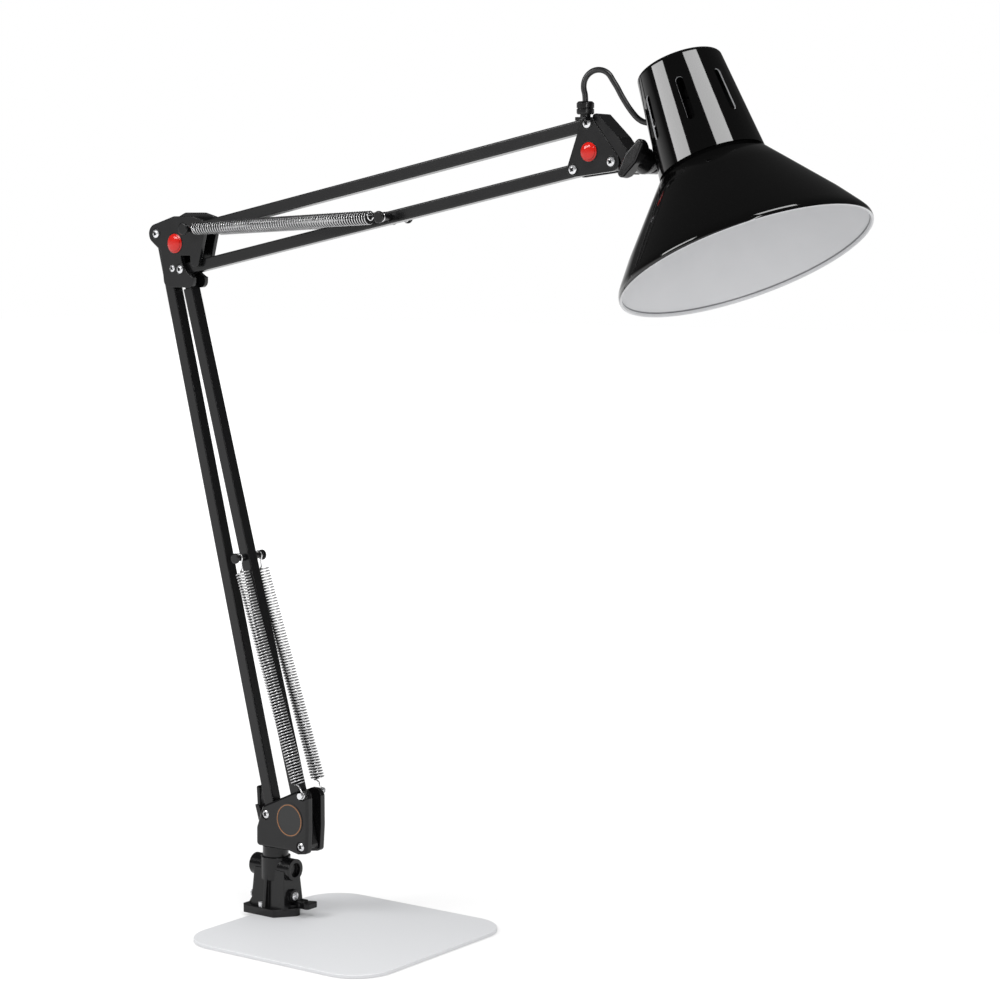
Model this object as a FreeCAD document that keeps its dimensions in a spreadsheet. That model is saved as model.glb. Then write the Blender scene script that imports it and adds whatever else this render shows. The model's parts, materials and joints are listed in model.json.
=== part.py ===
"""Spring-balanced desk lamp on a flat base plate, in millimetres.

The arms lie in the plane y = 0 and reach toward +X.  The origin is on the axis about which the
arms swivel, at the underside of the base, and +Z is up.  The head leans sideways a little: its
pieces are built about the tilt pivot and turned together about the X axis.
"""
import FreeCAD, Part
import math
import os

import Sketcher
from FreeCAD import Placement, Rotation, Vector

doc = FreeCAD.newDocument("desk_lamp")

# ---------------------------------------------------------------------------------------------
# Driving dimensions
# ---------------------------------------------------------------------------------------------

DRIVING = [
    # base plate and the sheet under it
    ("plate_side", 180.0), ("plate_thick", 2.4), ("plate_corner", 31.4), ("plate_easing", 0.6),
    ("plate_behind_axis", 9.4), ("plate_sideways", -12.0), ("pad_thick", 0.6), ("pad_inset", 5.0),
    # moulded pedestal
    ("flange_rear", 22.3), ("flange_front", 22.3), ("flange_half_width", 16.0),
    ("flange_thick", 6.0), ("tower_rear", 16.0), ("tower_front", 18.0), ("tower_half_width", 11.0),
    ("barrel_radius", 8.5), ("barrel_half_length", 20.0), ("barrel_height", 38.5),
    ("barrel_mouth_radius", 5.5), ("barrel_mouth_depth", 3.0),
    ("collar_radius", 11.5), ("collar_low", 30.0), ("pedestal_top", 47.5), ("rib_width", 2.5),
    ("post_radius", 6.0), ("post_clearance", 0.06), ("swivel_gap", 0.1),
    ("post_collar_radius", 10.0), ("post_collar_top", 55.9),
    ("fixing_radius", 2.0), ("fixing_clearance", 0.05), ("fixing_depth", 10.0),
    ("fixing_head_radius", 3.5), ("fixing_head_height", 1.5),
    ("front_fixing_x", 13.0), ("front_fixing_y", 8.5), ("rear_fixing_x", 4.5), ("rear_fixing_y", 12.5),
    # thumb screw that clamps the post
    ("clamp_radius", 2.4), ("clamp_height", 12.6), ("clamp_sideways", 1.5), ("clamp_hub_radius", 4.0),
    ("clamp_hub_length", 6.0), ("clamp_wing_span", 13.0), ("clamp_wing_thick", 4.0),
    ("clamp_wing_length", 12.0), ("clamp_stand_off", 24.0),
    # lower casing
    ("casing_inner", 5.15), ("casing_outer", 11.0), ("casing_rounding", 2.0),
    ("medallion_radius", 13.0), ("medallion_thick", 0.4), ("medallion_x", 24.0),
    ("medallion_height", 80.1), ("ring_radius", 11.6), ("ring_width", 0.5),
    ("stud_x", 36.7), ("stud_height", 100.7), ("stud_radius", 1.5), ("stud_head_radius", 2.4),
    ("stud_recess_radius", 4.0), ("stud_recess_depth", 3.0), ("tongue_half_width", 5.0),
    # pivots and bars, holes measured centre to centre
    ("rear_pivot_x", -0.5), ("rear_pivot_height", 81.4), ("front_pivot_x", 34.8),
    ("front_pivot_height", 60.6), ("pivot_radius", 2.0), ("pivot_clearance", 0.05),
    ("pivot_head_radius", 3.1), ("pivot_head_height", 1.6),
    ("lower_bar_length", 456.9), ("lower_bar_lean", 13.865), ("lower_bar_width", 9.5),
    ("upper_bar_length", 374.0), ("upper_bar_rise", 10.75), ("upper_bar_width", 9.0),
    ("bar_wall", 1.0), ("bar_rounding", 0.9), ("bar_end_margin", 12.0),
    ("tongue_thick", 3.6), ("joint_slot_length", 15.0), ("open_pivot_clearance", 1.1),
    # elbow: the three pivots stay one behind the other on the two plates
    ("elbow_front_x", 25.0), ("elbow_front_drop", 27.4), ("elbow_top_x", 36.6), ("elbow_top_rise", 3.6),
    ("plate_gap_half", 5.1), ("arm_plate_thick", 3.3), ("elbow_lobe", 7.6),
    ("elbow_cap_x", 19.7), ("elbow_cap_drop", 7.5), ("elbow_cap_radius", 7.4),
    ("elbow_spacer_radius", 6.5), ("elbow_spacer_bore", 5.2), ("cap_thick", 1.0), ("plug_length", 5.0),
    # pegs and balance springs
    ("spring_peg_radius", 2.4), ("lower_peg_distance", 225.3), ("lower_peg_half_length", 16.5),
    ("lower_peg_head_radius", 4.0), ("lower_spring_y", 11.3), ("lower_coil_radius", 5.05),
    ("lower_wire", 1.1), ("lower_coil_turns", 24.0), ("lower_hook_upper", 10.5),
    ("lower_hook_lower", 9.0), ("upper_peg_distance", 207.6), ("upper_peg_half_length", 18.0),
    ("upper_peg_head_radius", 4.4), ("upper_spring_y", 14.0), ("upper_coil_radius", 4.7),
    ("upper_wire", 1.0), ("upper_coil_turns", 25.0), ("upper_hook", 9.0), ("hook_gap", 0.35),
    # head bracket
    ("bracket_drop_x", 11.6), ("bracket_drop", 31.0), ("bracket_front_x", 19.7),
    ("bracket_front_drop", 26.2), ("bracket_top_lobe", 5.2), ("bracket_low_lobe", 5.0),
    ("bracket_front_lobe", 6.5), ("bracket_cap_x", 1.5), ("bracket_cap_drop", 19.2),
    ("bracket_cap_radius", 6.5), ("bracket_spacer_radius", 5.5), ("bracket_spacer_bore", 4.3),
    ("block_half_width", 8.0), ("block_core_half_width", 5.0),
    ("gland_x", 0.3), ("gland_y", -10.8), ("gland_radius", 6.0), ("gland_low", 4.1),
    ("gland_high", 14.6), ("gland_neck_radius", 3.6),
    # head joint: swivel along X, tilt across it
    ("tilt_x", 46.0), ("tilt_drop", 26.9), ("stem_radius", 3.0), ("stem_clearance", 0.05),
    ("stem_length", 8.0), ("block_face_x", 14.0), ("knuckle_radius", 7.4), ("knuckle_half_width", 7.0),
    ("fork_gap_half", 1.2), ("tilt_bolt_radius", 2.0), ("knob_radius", 9.0), ("knob_end_radius", 5.5),
    ("knob_hub_length", 12.0), ("knob_wing_half_span", 14.6), ("knob_wing_thick", 6.4),
    ("knob_wing_depth", 6.5), ("knob_angle", 56.5), ("knob_gap", 0.3),
    # shade, measured along its own axis from the rim
    ("shade_roll", -4.95), ("shade_lean", 24.9), ("rim_radius", 87.4), ("neck_start", 71.7),
    ("neck_low_radius", 36.56), ("shade_height", 144.3), ("neck_top_radius", 29.26),
    ("shade_wall", 1.0), ("neck_step", 0.6), ("neck_overlap", 8.0), ("bead_radius", 1.3),
    ("neck_edge", 3.0), ("tilt_height", 94.4), ("tilt_to_neck", 8.97),
    ("slot_count", 7.0), ("slot_width", 5.0), ("slot_low", 94.5), ("slot_high", 126.0),
    ("slot_turn", -68.0), ("tongue_plate", 1.8), ("tongue_eye", 6.3), ("strap_half_angle", 9.0),
    ("strap_thick", 1.0), ("strap_low", 84.0), ("strap_high", 110.0), ("seat_gap", 0.05),
    ("rivet_radius", 1.8), ("rivet_height", 0.8),
    # lamp holder
    ("holder_bore", 13.35), ("holder_skirt", 18.5), ("holder_body", 16.5), ("holder_low", 92.0),
    ("holder_step", 114.0), ("holder_bore_depth", 26.0), ("holder_high", 139.0), ("nipple_radius", 5.0),
    # cord from the bracket to the neck
    ("cord_diameter", 4.0), ("cord_hole_height", 117.2), ("cord_hole_radius", 3.2),
    ("cord_hole_turn", 183.6),
]

sheet = doc.addObject("Spreadsheet::Sheet", "Sizes")
for row, (alias, number) in enumerate(DRIVING, start=1):
    sheet.set("A%d" % row, alias)
    sheet.set("B%d" % row, repr(number))
    sheet.setAlias("B%d" % row, alias)
doc.recompute()


class Size:
    """A size with its number and the expression that gives it from the sheet."""

    def __init__(self, text, value):
        self.text = text
        self.value = float(value)

    def __add__(self, other):
        other = sized(other)
        return Size("(%s + %s)" % (self.text, other.text), self.value + other.value)

    def __sub__(self, other):
        other = sized(other)
        return Size("(%s - %s)" % (self.text, other.text), self.value - other.value)

    def __mul__(self, other):
        other = sized(other)
        return Size("(%s * %s)" % (self.text, other.text), self.value * other.value)

    def __truediv__(self, other):
        other = sized(other)
        return Size("(%s / %s)" % (self.text, other.text), self.value / other.value)

    def __radd__(self, other):
        return sized(other) + self

    def __rsub__(self, other):
        return sized(other) - self

    def __rmul__(self, other):
        return sized(other) * self

    def __neg__(self):
        return sized(0) - self


def sized(number):
    """The number as a Size, for plain numbers and sizes alike."""
    if isinstance(number, Size):
        return number
    return Size("(%.6f)" % number, number)


class SheetReader:
    """Gives each alias of the sheet as a Size."""

    def __getattr__(self, alias):
        return Size("Sizes.%s" % alias, sheet.get(alias))


size = SheetReader()


def cosine(angle):
    return Size("cos(%s)" % angle.text, math.cos(math.radians(angle.value)))


def sine(angle):
    return Size("sin(%s)" % angle.text, math.sin(math.radians(angle.value)))


def moved(point, across, up):
    """The point of the arms' plane that lies this far across and up from another."""
    return (point[0] + across, point[1] + up)


def along(point, angle, distance):
    """The point at a distance in the direction of an angle from +X toward +Z."""
    return moved(point, distance * cosine(angle), distance * sine(angle))


def spaced(start, end):
    """The distance between two points, as a Size."""
    across = end[0] - start[0]
    up = end[1] - start[1]
    return Size("hypot(%s; %s)" % (across.text, up.text), math.hypot(across.value, up.value))


def direction(start, end):
    """The angle from +X toward +Z of the line between two points, in degrees."""
    return math.degrees(math.atan2(end[1].value - start[1].value, end[0].value - start[0].value))


def flat(point, y=0.0):
    """A point of the arms' plane in space, at this y."""
    return Vector(sized(point[0]).value, sized(y).value, sized(point[1]).value)


# ---------------------------------------------------------------------------------------------
# Drawing and building helpers
# ---------------------------------------------------------------------------------------------

def new_body(name):
    body = doc.addObject("PartDesign::Body", name)
    body.Label = name
    return body


def origin_part(body, role):
    return [feature for feature in body.Origin.OriginFeatures if feature.Role == role][0]


def sketch_on(body, role, name, offset=0.0):
    """An empty sketch on one of the body's own planes, moved along the plane's normal."""
    sketch = body.newObject("Sketcher::SketchObject", name)
    sketch.AttachmentSupport = [(origin_part(body, role), "")]
    sketch.MapMode = "FlatFace"
    offset = sized(offset)
    sketch.AttachmentOffset = Placement(Vector(0, 0, offset.value), Rotation())
    sketch.setExpression("AttachmentOffset.Base.z", offset.text)
    return sketch


def dimension(sketch, kind, target, length):
    """A dimension on the sketch, bound to the sheet."""
    length = sized(length)
    number = sketch.addConstraint(Sketcher.Constraint(kind, *target, length.value))
    sketch.setExpression("Constraints[%d]" % number, length.text)


def pin(sketch, geometry, position, point):
    """Holds one point of a sketch's geometry at its distances from the sketch's origin."""
    dimension(sketch, "DistanceX", (-1, 1, geometry, position), point[0])
    dimension(sketch, "DistanceY", (-1, 1, geometry, position), point[1])


def arc_between(start, end, radius):
    """The shorter arc from start to end: counter-clockwise for a positive radius."""
    chord = end - start
    half = chord.Length / 2
    rise = math.sqrt(radius * radius - half * half)
    left = Vector(-chord.y, chord.x, 0).normalize()
    centre = start + chord / 2 + left * math.copysign(rise, radius)
    first, last = (start, end) if radius > 0 else (end, start)
    low = math.atan2(first.y - centre.y, first.x - centre.x)
    high = math.atan2(last.y - centre.y, last.x - centre.x)
    if high < low:
        high += 2 * math.pi
    return Part.ArcOfCircle(Part.Circle(centre, Vector(0, 0, 1), abs(radius)), low, high)


def draw_outline(sketch, corners):
    """A closed outline: a corner (x, z, radius) starts an arc, and (x, z) a straight side."""
    places = [Vector(sized(c[0]).value, sized(c[1]).value, 0) for c in corners]
    first = sketch.GeometryCount
    count = len(corners)
    for index, corner in enumerate(corners):
        start, end = places[index], places[(index + 1) % count]
        if len(corner) == 3:
            sketch.addGeometry(arc_between(start, end, sized(corner[2]).value), False)
        else:
            sketch.addGeometry(Part.LineSegment(start, end), False)
    backward = [len(c) == 3 and sized(c[2]).value < 0 for c in corners]
    for index, corner in enumerate(corners):
        following = (index + 1) % count
        end_position = 1 if backward[index] else 2
        start_position = 2 if backward[following] else 1
        sketch.addConstraint(Sketcher.Constraint(
            "Coincident", first + index, end_position, first + following, start_position))
    for index, corner in enumerate(corners):
        pin(sketch, first + index, 2 if backward[index] else 1, corner)
        if len(corner) == 3:
            radius = sized(corner[2])
            dimension(sketch, "Radius", (first + index,), -radius if radius.value < 0 else radius)


def draw_circle(sketch, centre, radius):
    place = Vector(sized(centre[0]).value, sized(centre[1]).value, 0)
    first = sketch.GeometryCount
    sketch.addGeometry(Part.Circle(place, Vector(0, 0, 1), sized(radius).value), False)
    pin(sketch, first, 3, centre)
    dimension(sketch, "Radius", (first,), radius)


def draw_belt(sketch, circles):
    """The outline of a belt round circles (x, z, radius), taken counter-clockwise."""
    count = len(circles)
    rims = [[sized(number).value for number in circle] for circle in circles]
    tangents = []
    for index in range(count):
        x_one, z_one, r_one = rims[index]
        x_two, z_two, r_two = rims[(index + 1) % count]
        span = math.hypot(x_two - x_one, z_two - z_one)
        turn = math.atan2(z_two - z_one, x_two - x_one) - math.acos((r_one - r_two) / span)
        tangents.append(turn)
    first = sketch.GeometryCount
    for index in range(count):
        x_one, z_one, r_one = rims[index]
        x_two, z_two, r_two = rims[(index + 1) % count]
        out = Vector(math.cos(tangents[index]), math.sin(tangents[index]), 0)
        side = Part.LineSegment(Vector(x_one, z_one, 0) + out * r_one, Vector(x_two, z_two, 0) + out * r_two)
        sketch.addGeometry(side, False)
    for index in range(count):
        x_one, z_one, r_one = rims[index]
        low, high = tangents[index - 1], tangents[index]
        while high < low:
            high += 2 * math.pi
        circle = Part.Circle(Vector(x_one, z_one, 0), Vector(0, 0, 1), r_one)
        sketch.addGeometry(Part.ArcOfCircle(circle, low, high), False)
    for index in range(count):
        arc, following = first + count + index, first + count + (index + 1) % count
        sketch.addConstraint(Sketcher.Constraint("Tangent", arc, 2, first + index, 1))
        sketch.addConstraint(Sketcher.Constraint("Tangent", first + index, 2, following, 1))
    for index in range(count):
        pin(sketch, first + count + index, 3, circles[index])
        dimension(sketch, "Radius", (first + count + index,), circles[index][2])


def add_slab(body, role, low, high, draw, *drawn):
    """Adds what is drawn, from low to high along the plane's axis (Y for the XZ plane)."""
    low, high = sized(low), sized(high)
    offset = -high if role == "XZ_Plane" else low
    sketch = sketch_on(body, role, body.Name + "_outline", offset)
    draw(sketch, *drawn)
    pad = body.newObject("PartDesign::Pad", body.Name + "_pad")
    pad.Profile = sketch
    pad.setExpression("Length", (high - low).text)
    return pad


def cut_slab(body, role, low, high, draw, *drawn):
    """Cuts what is drawn, from low to high along the plane's axis (Y for the XZ plane)."""
    low, high = sized(low), sized(high)
    offset = -low if role == "XZ_Plane" else high
    sketch = sketch_on(body, role, body.Name + "_cut_outline", offset)
    draw(sketch, *drawn)
    pocket = body.newObject("PartDesign::Pocket", body.Name + "_cut")
    pocket.Profile = sketch
    pocket.setExpression("Length", (high - low).text)
    return pocket


def turn_profile(body, corners, angle=360.0):
    """Adds the solid that an outline of (radius, height) makes round the body's Z axis."""
    sketch = sketch_on(body, "XZ_Plane", body.Name + "_profile")
    draw_outline(sketch, corners)
    spin = body.newObject("PartDesign::Revolution", body.Name + "_turning")
    spin.Profile = sketch
    spin.ReferenceAxis = (sketch, ["V_Axis"])
    spin.Angle = angle
    spin.Midplane = angle < 360
    return spin


def groove_profile(body, corners):
    """Cuts the solid that an outline of (radius, height) makes round the body's Z axis."""
    sketch = sketch_on(body, "XZ_Plane", body.Name + "_groove_profile")
    draw_outline(sketch, corners)
    groove = body.newObject("PartDesign::Groove", body.Name + "_groove")
    groove.Profile = sketch
    groove.ReferenceAxis = (sketch, ["V_Axis"])
    groove.Angle = 360
    return groove


def round_edges(body, radius, wanted):
    """Rounds the edges of the body so far that a test picks."""
    doc.recompute()
    base = body.Tip
    names = ["Edge%d" % number for number, edge in enumerate(base.Shape.Edges, start=1) if wanted(edge)]
    if not names:
        raise RuntimeError("no edge to round on %s" % body.Name)
    fillet = body.newObject("PartDesign::Fillet", body.Name + "_rounding")
    fillet.Base = (base, names)
    fillet.setExpression("Radius", sized(radius).text)
    return fillet


def on_level(axis, level, tolerance=0.001):
    """Picks edges that lie wholly at one level of an axis."""
    number = sized(level).value

    def wanted(edge):
        box = edge.BoundBox
        low, high = {"x": (box.XMin, box.XMax), "y": (box.YMin, box.YMax), "z": (box.ZMin, box.ZMax)}[axis]
        return abs(low - number) < tolerance and abs(high - number) < tolerance
    return wanted


def through_corner(axis, points):
    """Picks straight edges along an axis through any of these corners of an outline."""
    places = [(sized(p[0]).value, sized(p[1]).value) for p in points]

    def wanted(edge):
        if len(edge.Vertexes) != 2 or not isinstance(edge.Curve, (Part.Line, Part.LineSegment)):
            return False
        step = edge.Vertexes[1].Point - edge.Vertexes[0].Point
        lengthwise = {"x": step.x, "y": step.y, "z": step.z}[axis]
        if abs(lengthwise) < step.Length * 0.999:
            return False
        spot = edge.Vertexes[0].Point
        seen = {"x": (spot.y, spot.z), "y": (spot.x, spot.z), "z": (spot.x, spot.y)}[axis]
        return any(math.hypot(seen[0] - a, seen[1] - b) < 0.01 for a, b in places)
    return wanted


def put(thing, x, y, z, rotation=None):
    """Places an object, with the coordinates bound to the sheet."""
    spot = [sized(number) for number in (x, y, z)]
    thing.Placement = Placement(Vector(*[number.value for number in spot]), rotation or Rotation())
    for letter, number in zip("xyz", spot):
        thing.setExpression("Placement.Base.%s" % letter, number.text)


TOWARD_NEAR = Rotation(Vector(1, 0, 0), 90)      # local Z becomes -Y
TOWARD_FAR = Rotation(Vector(1, 0, 0), -90)      # local Z becomes +Y
TOWARD_FRONT = Rotation(Vector(0, 1, 0), 90)     # local Z becomes +X
TOWARD_REAR = Rotation(Vector(0, 1, 0), -90)     # local Z becomes -X


def group(name, members):
    """Like pieces as one node."""
    compound = doc.addObject("Part::Compound", name)
    compound.Label = name
    compound.Links = members
    return compound


nodes = []


def node(thing):
    nodes.append(thing)
    return thing


def turned_piece(name, corners, x, y, z, rotation=None):
    """A turned piece with its axis along local Z."""
    body = new_body(name)
    turn_profile(body, corners)
    put(body, x, y, z, rotation)
    return body


def bolt_profile(radius, length, head_radius, head_height):
    """Half outline of a bolt with a domed head: the shank runs down from height 0."""
    return [
        (0, -length), (radius, -length), (radius, 0), (head_radius, 0),
        (head_radius, head_height * 0.4, head_radius * 1.6), (head_radius * 0.4, head_height),
        (head_radius * 0.34, head_height * 0.55), (0, head_height * 0.55),
    ]


def nut_body(name, radius, height, bore):
    """A hexagon nut with a bore, standing on its underside."""
    body = new_body(name)
    corners = [(radius * math.cos(math.pi * step / 3), radius * math.sin(math.pi * step / 3))
               for step in range(6)]
    add_slab(body, "XY_Plane", 0, height, draw_outline, corners)
    cut_slab(body, "XY_Plane", 0, height, draw_circle, (0, 0), bore)
    return body


# ---------------------------------------------------------------------------------------------
# Places that pieces share
# ---------------------------------------------------------------------------------------------

rear_pivot = (size.rear_pivot_x, size.rear_pivot_height)
front_pivot = (size.front_pivot_x, size.front_pivot_height)
elbow_rear = along(rear_pivot, size.lower_bar_lean + 90, size.lower_bar_length)
elbow_front = moved(elbow_rear, size.elbow_front_x, -size.elbow_front_drop)
elbow_top = moved(elbow_rear, size.elbow_top_x, size.elbow_top_rise)
elbow_cap = moved(elbow_rear, size.elbow_cap_x, -size.elbow_cap_drop)
bracket_top = along(elbow_top, size.upper_bar_rise, size.upper_bar_length)
bracket_low = moved(bracket_top, elbow_front[0] - elbow_top[0], elbow_front[1] - elbow_top[1])
bracket_front = moved(bracket_top, size.bracket_front_x, -size.bracket_front_drop)
bracket_cap = moved(bracket_top, size.bracket_cap_x, -size.bracket_cap_drop)
tilt_pivot = moved(bracket_top, size.tilt_x, -size.tilt_drop)

front_bar_length = spaced(front_pivot, elbow_front)
rear_bar_angle = direction(rear_pivot, elbow_rear)
front_bar_angle = direction(front_pivot, elbow_front)
stud = (size.stud_x, size.stud_height)
plate_top = size.pad_thick + size.plate_thick
flange_top = plate_top + size.flange_thick
plate_middle_x = size.plate_side / 2 - size.plate_behind_axis
pivot_bore = size.pivot_radius + size.pivot_clearance
arm_plate_outer = size.plate_gap_half + size.arm_plate_thick


def on_line(start, end, distance):
    """The point on the line from start to end at a distance from start."""
    share = sized(distance) / spaced(start, end)
    return moved(start, (end[0] - start[0]) * share, (end[1] - start[1]) * share)


lower_peg = on_line(front_pivot, elbow_front, size.lower_peg_distance)
upper_peg = along(elbow_front, size.upper_bar_rise, size.upper_peg_distance)


# ---------------------------------------------------------------------------------------------
# Base: sheet, plate, pedestal and what fastens them
# ---------------------------------------------------------------------------------------------

def rounded_square(inset):
    """Corner circles of the plate's outline, drawn in by an inset."""
    reach = size.plate_side / 2 - size.plate_corner
    radius = size.plate_corner - inset
    turns = [(1, 1), (-1, 1), (-1, -1), (1, -1)]
    return [(plate_middle_x + reach * a, size.plate_sideways + reach * b, radius) for a, b in turns]


def fixing_places():
    """The four screws from below: two ahead of the post and two behind it."""
    front = [(size.front_fixing_x, size.front_fixing_y * side) for side in (-1, 1)]
    rear = [(-size.rear_fixing_x, size.rear_fixing_y * side) for side in (-1, 1)]
    return front + rear


base_pad = node(new_body("base_pad"))
add_slab(base_pad, "XY_Plane", 0, size.pad_thick, draw_belt, rounded_square(size.pad_inset))

base_plate = node(new_body("base_plate"))
add_slab(base_plate, "XY_Plane", size.pad_thick, plate_top, draw_belt, rounded_square(0))
round_edges(base_plate, size.plate_easing, on_level("z", plate_top))
for place in fixing_places():
    cut_slab(base_plate, "XY_Plane", size.pad_thick, plate_top + 1, draw_circle, place,
             size.fixing_radius + size.fixing_clearance)
    cut_slab(base_plate, "XY_Plane", size.pad_thick, size.pad_thick + size.fixing_head_height,
             draw_circle, place, size.fixing_head_radius + size.fixing_clearance)


def build_pedestal():
    """Moulded tower: hexagon flange, tapering walls, cross barrel, collar and ribs."""
    body = node(new_body("pedestal"))
    chamfer_low = size.flange_half_width * 0.19
    flange = [
        (-size.flange_rear, -size.flange_half_width + chamfer_low),
        (-size.flange_rear + chamfer_low, -size.flange_half_width),
        (size.flange_front / 2, -size.flange_half_width), (size.flange_front, -2),
        (size.flange_front, 2), (size.flange_front / 2, size.flange_half_width),
        (-size.flange_rear + chamfer_low, size.flange_half_width),
        (-size.flange_rear, size.flange_half_width - chamfer_low),
    ]
    add_slab(body, "XY_Plane", plate_top, flange_top, draw_outline, flange)
    tower = add_slab(body, "XY_Plane", flange_top, size.barrel_height, draw_outline, [
        (-size.tower_rear, -size.tower_half_width), (size.tower_front, -size.tower_half_width),
        (size.tower_front, size.tower_half_width), (-size.tower_rear, size.tower_half_width)])
    tower.TaperAngle = -4
    add_slab(body, "XY_Plane", size.collar_low, size.pedestal_top, draw_circle, (0, 0), size.collar_radius)
    add_slab(body, "YZ_Plane", -size.barrel_half_length, size.barrel_half_length, draw_circle,
             (0, size.barrel_height), size.barrel_radius)
    rib_reach = size.flange_half_width - 1.5
    add_slab(body, "YZ_Plane", -size.rib_width / 2, size.rib_width / 2, draw_outline, [
        (-rib_reach, flange_top), (rib_reach, flange_top),
        (size.tower_half_width, size.barrel_height), (-size.tower_half_width, size.barrel_height)])
    gusset_y = -size.tower_half_width / 2
    add_slab(body, "XZ_Plane", gusset_y - size.rib_width / 2, gusset_y + size.rib_width / 2,
             draw_outline, [(-size.tower_rear + 6, flange_top + 18), (-size.flange_rear + 0.5, flange_top),
                            (-size.tower_rear + 6, flange_top)])
    round_edges(body, 1.0, through_corner("z", [
        (size.flange_front / 2, -size.flange_half_width), (size.flange_front / 2, size.flange_half_width)]))
    front_boss = (-0.9, flange_top + 9.3)
    add_slab(body, "YZ_Plane", size.tower_front - 4, size.tower_front + 2, draw_circle, front_boss, 5)
    cut_slab(body, "YZ_Plane", 5, size.tower_front + 3, draw_circle,
             (size.clamp_sideways, size.clamp_height), size.clamp_radius + size.fixing_clearance)
    cut_slab(body, "YZ_Plane", size.tower_front - 6, size.tower_front + 3, draw_circle, front_boss,
             1.6 + size.fixing_clearance)
    rear_screw_place = (-size.tower_half_width + 3.4, flange_top + 8)
    cut_slab(body, "YZ_Plane", -size.tower_rear - 1, -size.tower_rear + 6, draw_circle,
             rear_screw_place, 1.6 + size.fixing_clearance)
    cut_slab(body, "YZ_Plane", -size.flange_rear, -size.tower_rear, draw_circle, rear_screw_place, 3.2)
    for end, inward in ((size.barrel_half_length, -1), (-size.barrel_half_length, 1)):
        low, high = (end - size.barrel_mouth_depth, end) if inward < 0 else (end, end + size.barrel_mouth_depth)
        cut_slab(body, "YZ_Plane", low, high, draw_circle, (0, size.barrel_height), size.barrel_mouth_radius)
    cut_slab(body, "XY_Plane", flange_top - size.swivel_gap, size.pedestal_top, draw_circle, (0, 0),
             size.post_radius + size.post_clearance)
    for place in fixing_places():
        cut_slab(body, "XY_Plane", plate_top, plate_top + size.fixing_depth, draw_circle, place,
                 size.fixing_radius + size.fixing_clearance)
    return front_boss


front_boss_place = build_pedestal()

pedestal_fixings = []
for number, place in enumerate(fixing_places(), start=1):
    shank_top = size.plate_thick - size.fixing_head_height + size.fixing_depth - 0.5
    pedestal_fixings.append(turned_piece("pedestal_fixing_%d" % number, [
        (0, 0), (size.fixing_head_radius, 0), (size.fixing_head_radius, size.fixing_head_height * 0.3),
        (size.fixing_radius, size.fixing_head_height),
        (size.fixing_radius, size.fixing_head_height + shank_top), (0, size.fixing_head_height + shank_top)],
        place[0], place[1], size.pad_thick))
node(group("pedestal_fixings", pedestal_fixings))

front_side_screw = turned_piece("front_side_screw", bolt_profile(sized(1.6), sized(7), sized(3.2), sized(1.8)),
                                size.tower_front + 2, front_boss_place[0], front_boss_place[1], TOWARD_FRONT)
rear_side_screw = turned_piece("rear_side_screw", bolt_profile(sized(1.6), sized(5), sized(3.0), sized(2.4)),
                               -size.tower_rear, -size.tower_half_width + 3.4, flange_top + 8, TOWARD_REAR)
node(group("pedestal_side_screws", [front_side_screw, rear_side_screw]))


def build_thumb_screw():
    """Clamping screw along X: threaded shank, round hub and a flat wing."""
    body = node(new_body("pedestal_thumb_screw"))
    tip = size.post_radius + 0.2
    hub = size.clamp_stand_off
    turn_profile(body, [
        (0, tip), (size.clamp_radius - 0.6, tip), (size.clamp_radius, tip + 0.6), (size.clamp_radius, hub),
        (size.clamp_hub_radius, hub), (size.clamp_hub_radius, hub + size.clamp_hub_length - 1),
        (size.clamp_hub_radius - 1, hub + size.clamp_hub_length), (0, hub + size.clamp_hub_length)])
    wing_reach = size.clamp_wing_span / 2 - 2.5
    wing_end = hub + size.clamp_wing_length
    half = size.clamp_wing_thick / 2
    add_slab(body, "XZ_Plane", -half, half, draw_belt, [
        (size.clamp_hub_radius - 2, hub + 3, 2), (wing_reach, wing_end - 2.5, 2.5),
        (-wing_reach, wing_end - 2.5, 2.5), (-size.clamp_hub_radius + 2, hub + 3, 2)])
    put(body, 0, size.clamp_sideways, size.clamp_height,
        TOWARD_FRONT.multiply(Rotation(Vector(0, 0, 1), 90)))
    return body


build_thumb_screw()

# ---------------------------------------------------------------------------------------------
# Lower bracket: post, two casing shells and what they carry
# ---------------------------------------------------------------------------------------------

post = node(new_body("pivot_post"))
post_foot = flange_top
post_shoulder = size.pedestal_top + size.swivel_gap
turn_profile(post, [
    (0, post_foot), (size.post_radius - 0.8, post_foot), (size.post_radius, post_foot + 0.8),
    (size.post_radius, post_shoulder), (size.post_collar_radius, post_shoulder),
    (size.post_collar_radius, size.post_collar_top), (0, size.post_collar_top)])
add_slab(post, "XZ_Plane", -size.tongue_half_width, size.tongue_half_width, draw_outline, [
    (-size.post_collar_radius + 1, size.post_collar_top - 0.5), (27, size.post_collar_top - 0.5),
    (20, size.post_collar_top + 14), (-size.post_collar_radius + 1, size.post_collar_top + 14)])

CASING_OUTLINE = [(-3.8, 87.5), (-10.2, 70.2), (-10.4, 56.0), (22.2, 56.0), (31.2, 54.2), (40.3, 55.6),
                  (41.7, 75.0), (41.7, 98.2), (39.8, 104.1), (32.8, 104.0), (24.7, 100.6)]


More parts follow.
